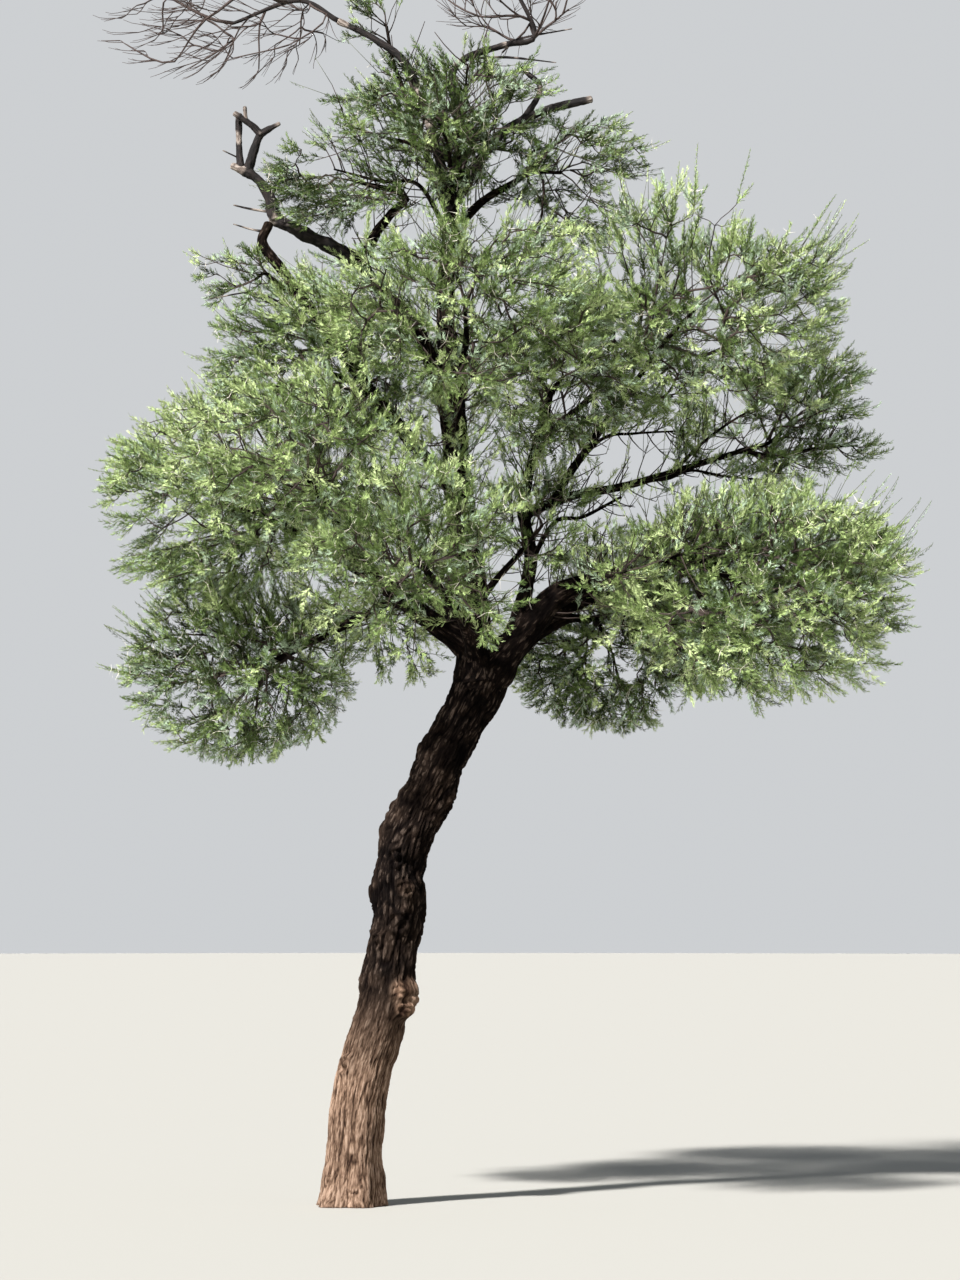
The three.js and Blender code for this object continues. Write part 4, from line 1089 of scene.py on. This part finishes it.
stemTwigs = {name: (0.05, 1.0, moreOnStem.get(name, 26), 0.34) for name in leafyMasses}      # on its stem
sideRadius = (0.0044, 0.0022)      # of a side twig's root and tip


def clothingTwigs(path, radius, look, rng):
    # twigs at even random shares, standing out square to the limb and leaning along it and up
    low, high, perMetre, reach = look
    count = max(2, int((high - low) * path["length"] * perMetre))
    share = low + (high - low) * (np.arange(count) + rng.random(count)) / count
    root, along = pathAt(path, share)
    side = squareTo(along, rng.normal(size=(count, 3)), 0.18)
    length = reach * rng.uniform(0.35, 1.0, count)
    tip = root + unit(side + 0.65 * along + 0.12 * upward) * (length + radius)[:, None]
    return {"a": root, "b": keptIn(tip, foliage["spotRoom"]), "wayA": unit(side + 0.4 * along),
            "wayB": unit(side + 0.8 * along + 0.3 * upward),
            "radiusA": np.full(count, sideRadius[0]), "radiusB": np.full(count, sideRadius[1])}


def leafyShoots(mass, rows, rng):
    # one shoot at each twig's end and more on its outer part, which turn outwards and up; some on the
    # outside of the crown are long spikes, and all are cut to the reach and to the mass's size
    low, high = foliage["shoots"]
    count = rng.integers(low, high + 1, len(rows["a"]))
    owner = np.repeat(np.arange(len(count)), count)
    atEnd = np.r_[True, owner[1:] != owner[:-1]]
    t = np.where(atEnd, 1.0, rng.uniform(0.35, 1.0, len(owner)))
    root, along = twigsAt(rows, owner, t)
    outward = unit((root - mass["middle"]) / mass["size"])
    loose = unit(rng.normal(size=(len(owner), 3)))
    mixing = np.where(atEnd, 0.35, 0.95)[:, None] * (0.45 if mass["bare"] else 1)
    follow, turned, rise, lean = foliage["shootWay"]
    way = unit(follow * along + turned * outward + rise * upward + lean * mass["sweep"]
               + mixing * loose * (1, 1, 0.55))
    length = rng.uniform(*foliage["shootLength"], len(owner))
    spike = ((farOut(mass, root) > 0.78) & (outward[:, 2] > -0.1)
             & (rng.random(len(owner)) < foliage["spikeShare"]))
    follow, turned, rise, lean = foliage["bareSpikeWay" if mass["bare"] else "spikeWay"]
    spikeWay = unit(follow * along + turned * outward + rise * upward + lean * mass["sweep"] + 0.25 * loose)
    way = np.where(spike[:, None], spikeWay, way)
    length = np.where(spike, rng.uniform(*foliage["spikeLength"], len(owner)), length)
    room = np.abs(np.where(way > 0, reachHigh, reachLow) - root) / np.maximum(np.abs(way), 1e-3)
    room = (room.min(1) - foliage["tipRoom"]) * rng.uniform(0.5, 1.0, len(owner))
    length = np.minimum(length, np.maximum(0.04, room))
    over = farOut(mass, root + way * length[:, None]) - np.where(spike, *foliage["mostOut"])
    length *= np.clip(1 - over * 2.5, 0.4, 1)
    tip = keptIn(root + way * length[:, None], foliage["tipRoom"])
    inOpen = inSkyGap(tip) if not mass["bare"] else np.zeros(len(owner), bool)
    thick = np.full(len(owner), foliage["shootRadius"])
    shoots = {"a": root, "b": tip, "wayA": way, "wayB": unit(way + 0.3 * upward + 0.25 * loose),
              "radiusA": thick, "radiusB": thick * 0.5, "owner": owner, "length": length,
              "leafScale": np.where(spike, foliage["spikeLeaves"], 1.0),
              "stray": inOpen & (rng.random(len(owner)) < foliage["strays"])}
    return {key: value[~inOpen | shoots["stray"]] for key, value in shoots.items()}


def leafTemplate():
    # a feathered leaf one long: two pairs of feathers that stand on its line, lean forward from it
    # and rise a little above it, each a triangle
    parts = []
    for base, length, angle in ((0.17, 0.62, 0.52), (0.52, 0.52, 0.36)):
        sag = -0.04 * base
        for side in (1, -1):
            half = 0.17 * side
            tip = (base + length * math.cos(angle), side * length * math.sin(angle), 0.15 * length + sag)
            parts.append([(base + half, 0, sag), tip, (base - half, 0, sag)])
    return np.array(parts, float)


def thornTemplate():
    # a straight thorn one long: three long sides that meet in its point
    turn = anglesRound(3)
    ring = np.stack([np.full(3, -0.02), 0.030 * np.cos(turn), 0.030 * np.sin(turn)], -1)
    return np.array([[ring[i], ring[(i + 1) % 3], (1, 0, 0)] for i in range(3)], float)


def growThorns(shoots, rng):
    # a pair of thorns stands at a knot of the shoot, spread like a V and a little forward
    bearing = np.flatnonzero(rng.random(len(shoots["length"])) < foliage["thornShare"])
    t = rng.uniform(0.1, 0.8, len(bearing))
    root, along = twigsAt(shoots, bearing, t)
    side = squareTo(along, rng.normal(size=(len(bearing), 3)))
    size = rng.uniform(*foliage["thornLength"], len(bearing))
    ways = np.concatenate([unit(0.35 * along + side), unit(0.35 * along - side)])
    face = unit(np.cross(ways, np.concatenate([along, along])))
    return {"root": np.concatenate([root, root]), "way": ways, "face": face,
            "size": np.concatenate([size, size])}


def growLeaves(mass, shoots, rng):
    # leaves stand round each shoot by the golden angle, and lean forward near its tip; those of long
    # shoots are small, and dealt darker by dim, as painted shade that takes back part of the painted sunlight
    # on the crown's tips
    count = np.maximum(2, (shoots["length"] / foliage["leafStep"]).astype(int))
    shoot = np.repeat(np.arange(len(count)), count)
    order = np.arange(len(shoot)) - np.repeat(np.cumsum(count) - count, count)
    t = 0.12 + 0.88 * (order + 0.5) / count[shoot]
    root, along = twigsAt(shoots, shoot, t)
    across = unit(np.cross(along, np.broadcast_to([0.31, 0.17, 0.93], along.shape)))
    turn = (growth["twigTurn"] * order + 6.28 * chance(shoot, mass["key"]))[:, None]
    side = np.cos(turn) * across + np.sin(turn) * np.cross(along, across)
    low, high = foliage["leafAngle"]
    angle = (high - (high - low) * t + rng.normal(0, 0.14, len(shoot)))[:, None]
    way = unit(np.cos(angle) * along + np.sin(angle) * side + 0.12 * upward)
    face = squareTo(way, 0.8 * upward + 0.45 * along + 0.5 * rng.normal(size=along.shape))
    scale = shoots["leafScale"][shoot]
    size = rng.uniform(*foliage["leafLength"], len(shoot)) * (1.05 - 0.5 * t * t) * scale
    return {"root": root, "way": way, "face": face, "size": size, "shoot": shoot,
            "spray": shoots["owner"][shoot], "stray": shoots["stray"][shoot], "dim": 0.5 * (1 - scale)}


def placedMesh(template, leaves):
    # template point (x, y, z) goes to root + size * (x way + y side + z face)
    side = np.cross(leaves["face"], leaves["way"])
    frameAxes = np.stack([leaves["way"], side, leaves["face"]], 1) * leaves["size"][:, None, None]
    spots = leaves["root"][:, None] + template.reshape(-1, 3) @ frameAxes
    faces = np.arange(spots.shape[0] * spots.shape[1]).reshape(-1, 3)
    return spots.reshape(-1, 3), [faces]


# The leaves' colours: acacia leaflets, matt and thin, dealt from painted shade to painted sunlight, and a
# greyer one that is dealt by chance.
leafColours = {
    "deep_green": "#2E3D14", "dull_green": "#4E622D", "leaf_green": "#71864B",
    "light_green": "#93A668", "yellow_green": "#B5C489", "grey_green": "#98AA8D",
}
dealing = {
    "outer": 0.55, "upper": 0.25, "patches": 0.16,      # painted sunlight on a spray: by its place, outer and upper being lighter; broad patches and chance vary the tone; and the share of grey shoots
    "bySpray": 0.10, "byShoot": 0.20, "grey": 0.15,     # and chance; and the share of grey shoots
    "bands": (0.16, 0.38, 0.62, 0.84),                  # shares of the leaves up to each lighter colour
    "mostTriangles": 190000,                            # in one piece
}


def tintSprays(mass, rows, leaves, rng):
    # drops leaves in open sky; outer and upper sprays are dealt lighter as painted sunlight, a mass's shade
    # deals it darker as painted shade, and chance and broad patches vary them
    place = rows["b"]
    rise = (place - mass["middle"])[:, 2] / mass["size"][2]
    lit = (dealing["outer"] * smoothStep(farOut(mass, place), 0.5, 1.05)
           + dealing["upper"] * smoothStep(rise, -1, 1))
    lit = (lit + dealing["patches"] * softNoise(place * 1.6, 8) + rng.normal(0, dealing["bySpray"], len(lit))
           - mass["shade"])
    byShoot = rng.normal(0, dealing["byShoot"], leaves["shoot"].max() + 1)
    leaves["lit"] = lit[leaves["spray"]] + byShoot[leaves["shoot"]] - leaves["dim"]
    leaves["grey"] = (rng.random(len(byShoot)) < dealing["grey"])[leaves["shoot"]]
    kept = ~inSkyGap(leaves["root"]) | leaves["stray"]
    for key in leaves:
        leaves[key] = leaves[key][kept]


grownTwigs, grownShoots, grownLeaves, grownThorns, bareTwigRows = [], [], [], [], []
for name, mass in masses.items():
    rng = np.random.default_rng(mass["key"])
    first = firstTwigs(name, mass)
    fine = fineTwigs(mass, first, rng)
    shoots = leafyShoots(mass, fine, rng)
    if mass["bare"]:
        bareTwigRows += [first, fine, shoots]
        continue
    leaves = growLeaves(mass, shoots, rng)
    tintSprays(mass, fine, leaves, rng)
    grownTwigs += [first, fine]
    grownShoots.append(shoots)
    grownLeaves.append(leaves)
    grownThorns.append(growThorns(shoots, rng))

clothed = [(paths[name], limbs[name]["foot"], look) for name, look in sideTwigs.items()]
clothed += [(masses[name]["stem"], limbs[masses[name]["limb"]]["end"], look)
            for name, look in stemTwigs.items()]
for number, (path, radius, look) in enumerate(clothed):
    # clothed limbs take the mass that is nearest to the middle of their twigs as their own
    rng = np.random.default_rng(90 + number)
    rows = clothingTwigs(path, radius / 1500, look, rng)
    middle = rows["b"].mean(0)
    mass = min((masses[other] for other in leafyMasses), key=lambda m: np.linalg.norm(m["middle"] - middle))
    around = {**mass, "middle": middle - 0.25 * upward, "key": mass["key"] + 7}
    shoots = leafyShoots(around, rows, rng)
    leaves = growLeaves(around, shoots, rng)
    tintSprays(mass, rows, leaves, rng)
    grownTwigs.append(rows)
    grownShoots.append(shoots)
    grownLeaves.append(leaves)


def gathered(tables, keys):
    # the same columns of several tables, end to end
    return {key: np.concatenate([rows[key] for rows in tables]) for key in keys}


tubeKeys = (*curveKeys, "radiusA", "radiusB")
twigs, shoots = gathered(grownTwigs, tubeKeys), gathered(grownShoots, tubeKeys)
thorns, leaves = gathered(grownThorns, grownThorns[0]), gathered(grownLeaves, grownLeaves[0])
print(f"grown: {len(twigs['a'])} twigs, {len(shoots['a'])} shoots, {len(leaves['root'])} leaves")

# Materials of twigs: plain, because they are joined meshes of many small things.
# Young acacia bark on twigs: grey-brown, matt, its own dark tone made darker still as painted shade inside
# the crown.
twigMaterial = newMaterial("youngBark", 0.88, 0.25, "#3A302B")
# This year's shoots, still green under a thin skin.
shootMaterial = newMaterial("greenShootBark", 0.75, 0.3, "#565A3A")
# Dry straight thorns, bleached almost white, smooth. They are drawn twice as thick as life to show.
thornMaterial = newMaterial("bleachedThorn", 0.5, 0.4, "#D3CCBC")
# Dead twigs: dark, dry, a little redder.
bareMaterial = newMaterial("dryTwigBark", 0.86, 0.25, "#453A36")

flat, faces, fields = joined([stemPiece(name) for name in leafyMasses])
meshPiece("stem_bark", flat, faces, barkMaterial, "foliage", leafyMasses, fields)
meshPiece("leafy_twigs", *twigTubes(twigs, 3, 3), twigMaterial, "foliage", leafyMasses)
meshPiece("leafy_shoots", *twigTubes(shoots, 3, 1), shootMaterial, "foliage", leafyMasses)
meshPiece("thorns", *placedMesh(thornTemplate(), thorns), thornMaterial, "foliage", leafyMasses)

flat, faces, fields = joined([stemPiece(name) for name in bareMasses])
meshPiece("dead_stems", flat, faces, deadMaterial, "bare_twigs", bareMasses, fields)
bareTubes = twigTubes(gathered(bareTwigRows, tubeKeys), 4, 4)
meshPiece("bare_twigs", *bareTubes, bareMaterial, "bare_twigs", bareMasses)

band = np.searchsorted(np.quantile(leaves["lit"], dealing["bands"]), leaves["lit"])
band = np.where(leaves["grey"], len(leafColours) - 1, band)
for i, (label, hexCode) in enumerate(leafColours.items()):
    # Acacia leaflets, a soft waxy skin over thin green blade: matt with a faint gloss. Each colour but the
    # grey one is one step from painted shade to painted sunlight.
    material = newMaterial("leaflets_" + label, 0.58, 0.3, hexCode)
    picked = {key: value[band == i] for key, value in leaves.items()}
    halves = 1 + (len(picked["root"]) * 4 > dealing["mostTriangles"])
    for part in range(halves):
        chosen = {key: value[part::halves] for key, value in picked.items()}
        leafPiece = f"leaves_{label}" + ("_b" if part else "")
        meshPiece(leafPiece, *placedMesh(leafTemplate(), chosen), material, "foliage", leafyMasses)


# Floor, light and camera.

stageLook = {
    "floor": "#A3A099", "floorRadius": 60, "floorSides": 96,
    "horizon": "#F0F3F6", "overhead": "#7A8795", "sky": 0.70,
    "key": 9.7, "keyTurn": (48, 0, -40), "keySoftness": 4.0,      # a sun, in degrees
    "fill": 85.0, "fillSize": 7.0, "fillPlace": (11.0, -9.0, 6.0), "fillTarget": (0.8, 0, 3.2),
}

# Matt studio floor: even, pale.
floorMaterial = newMaterial("paleFloor", 0.9, 0.2, stageLook["floor"])
turn = anglesRound(stageLook["floorSides"])
rim = stageLook["floorRadius"] * np.stack([np.cos(turn), np.sin(turn)], -1)
floorMesh = bpy.data.meshes.new("floor")
floorMesh.from_pydata([(x, y, -0.001) for x, y in rim.tolist()], [], [list(range(len(rim)))])
floorMesh.materials.append(floorMaterial)
floor = bpy.data.objects.new("floor", floorMesh)
bpy.context.scene.collection.objects.link(floor)

# A soft overcast sky that darkens upwards.
world = bpy.data.worlds.new("softSky")
world.use_nodes = True
skyPlace = addNode(world, "ShaderNodeTexCoord").outputs["Generated"]
skyHeight = addNode(world, "ShaderNodeSeparateXYZ", {}, {0: skyPlace}).outputs["Z"]
skyStops = [(0.0, stageLook["horizon"]), (0.30, stageLook["horizon"]), (0.62, stageLook["overhead"])]
skyColour = addNode(world, "ShaderNodeValToRGB", {}, {"Fac": skyHeight}, skyStops).outputs[0]
background = world.node_tree.nodes["Background"]
world.node_tree.links.new(skyColour, background.inputs[0])
background.inputs[1].default_value = stageLook["sky"]
bpy.context.scene.world = world


def addLight(name, kind, power, turn, place=(0, 0, 0)):
    # a lamp at a place, turned by angles in radians
    lamp = bpy.data.lights.new(name, kind)
    lamp.energy = power
    light = bpy.data.objects.new(name, lamp)
    light.location = place
    light.rotation_euler = turn
    bpy.context.scene.collection.objects.link(light)
    return lamp


sun = addLight("keyLight", "SUN", stageLook["key"], [math.radians(v) for v in stageLook["keyTurn"]])
sun.angle = math.radians(stageLook["keySoftness"])
x, y, z = np.subtract(stageLook["fillPlace"], stageLook["fillTarget"])
fillTurn = (math.atan2(math.hypot(x, y), z), 0, math.atan2(x, -y))      # faces its target
fillLamp = addLight("fillLight", "AREA", stageLook["fill"], fillTurn, stageLook["fillPlace"])
fillLamp.size = stageLook["fillSize"]

camera = bpy.data.objects.new("camera", bpy.data.cameras.new("camera"))
camera.data.lens = 127.7       # 4540 pixels over a frame 1280 pixels high
camera.data.sensor_width = 36.0
camera.location = viewer.tolist()
camera.rotation_euler = (math.radians(92.76), 0, 0)
bpy.context.scene.collection.objects.link(camera)
bpy.context.scene.camera = camera
bpy.context.scene.view_settings.view_transform = "Standard"
print("floor, light and camera set")
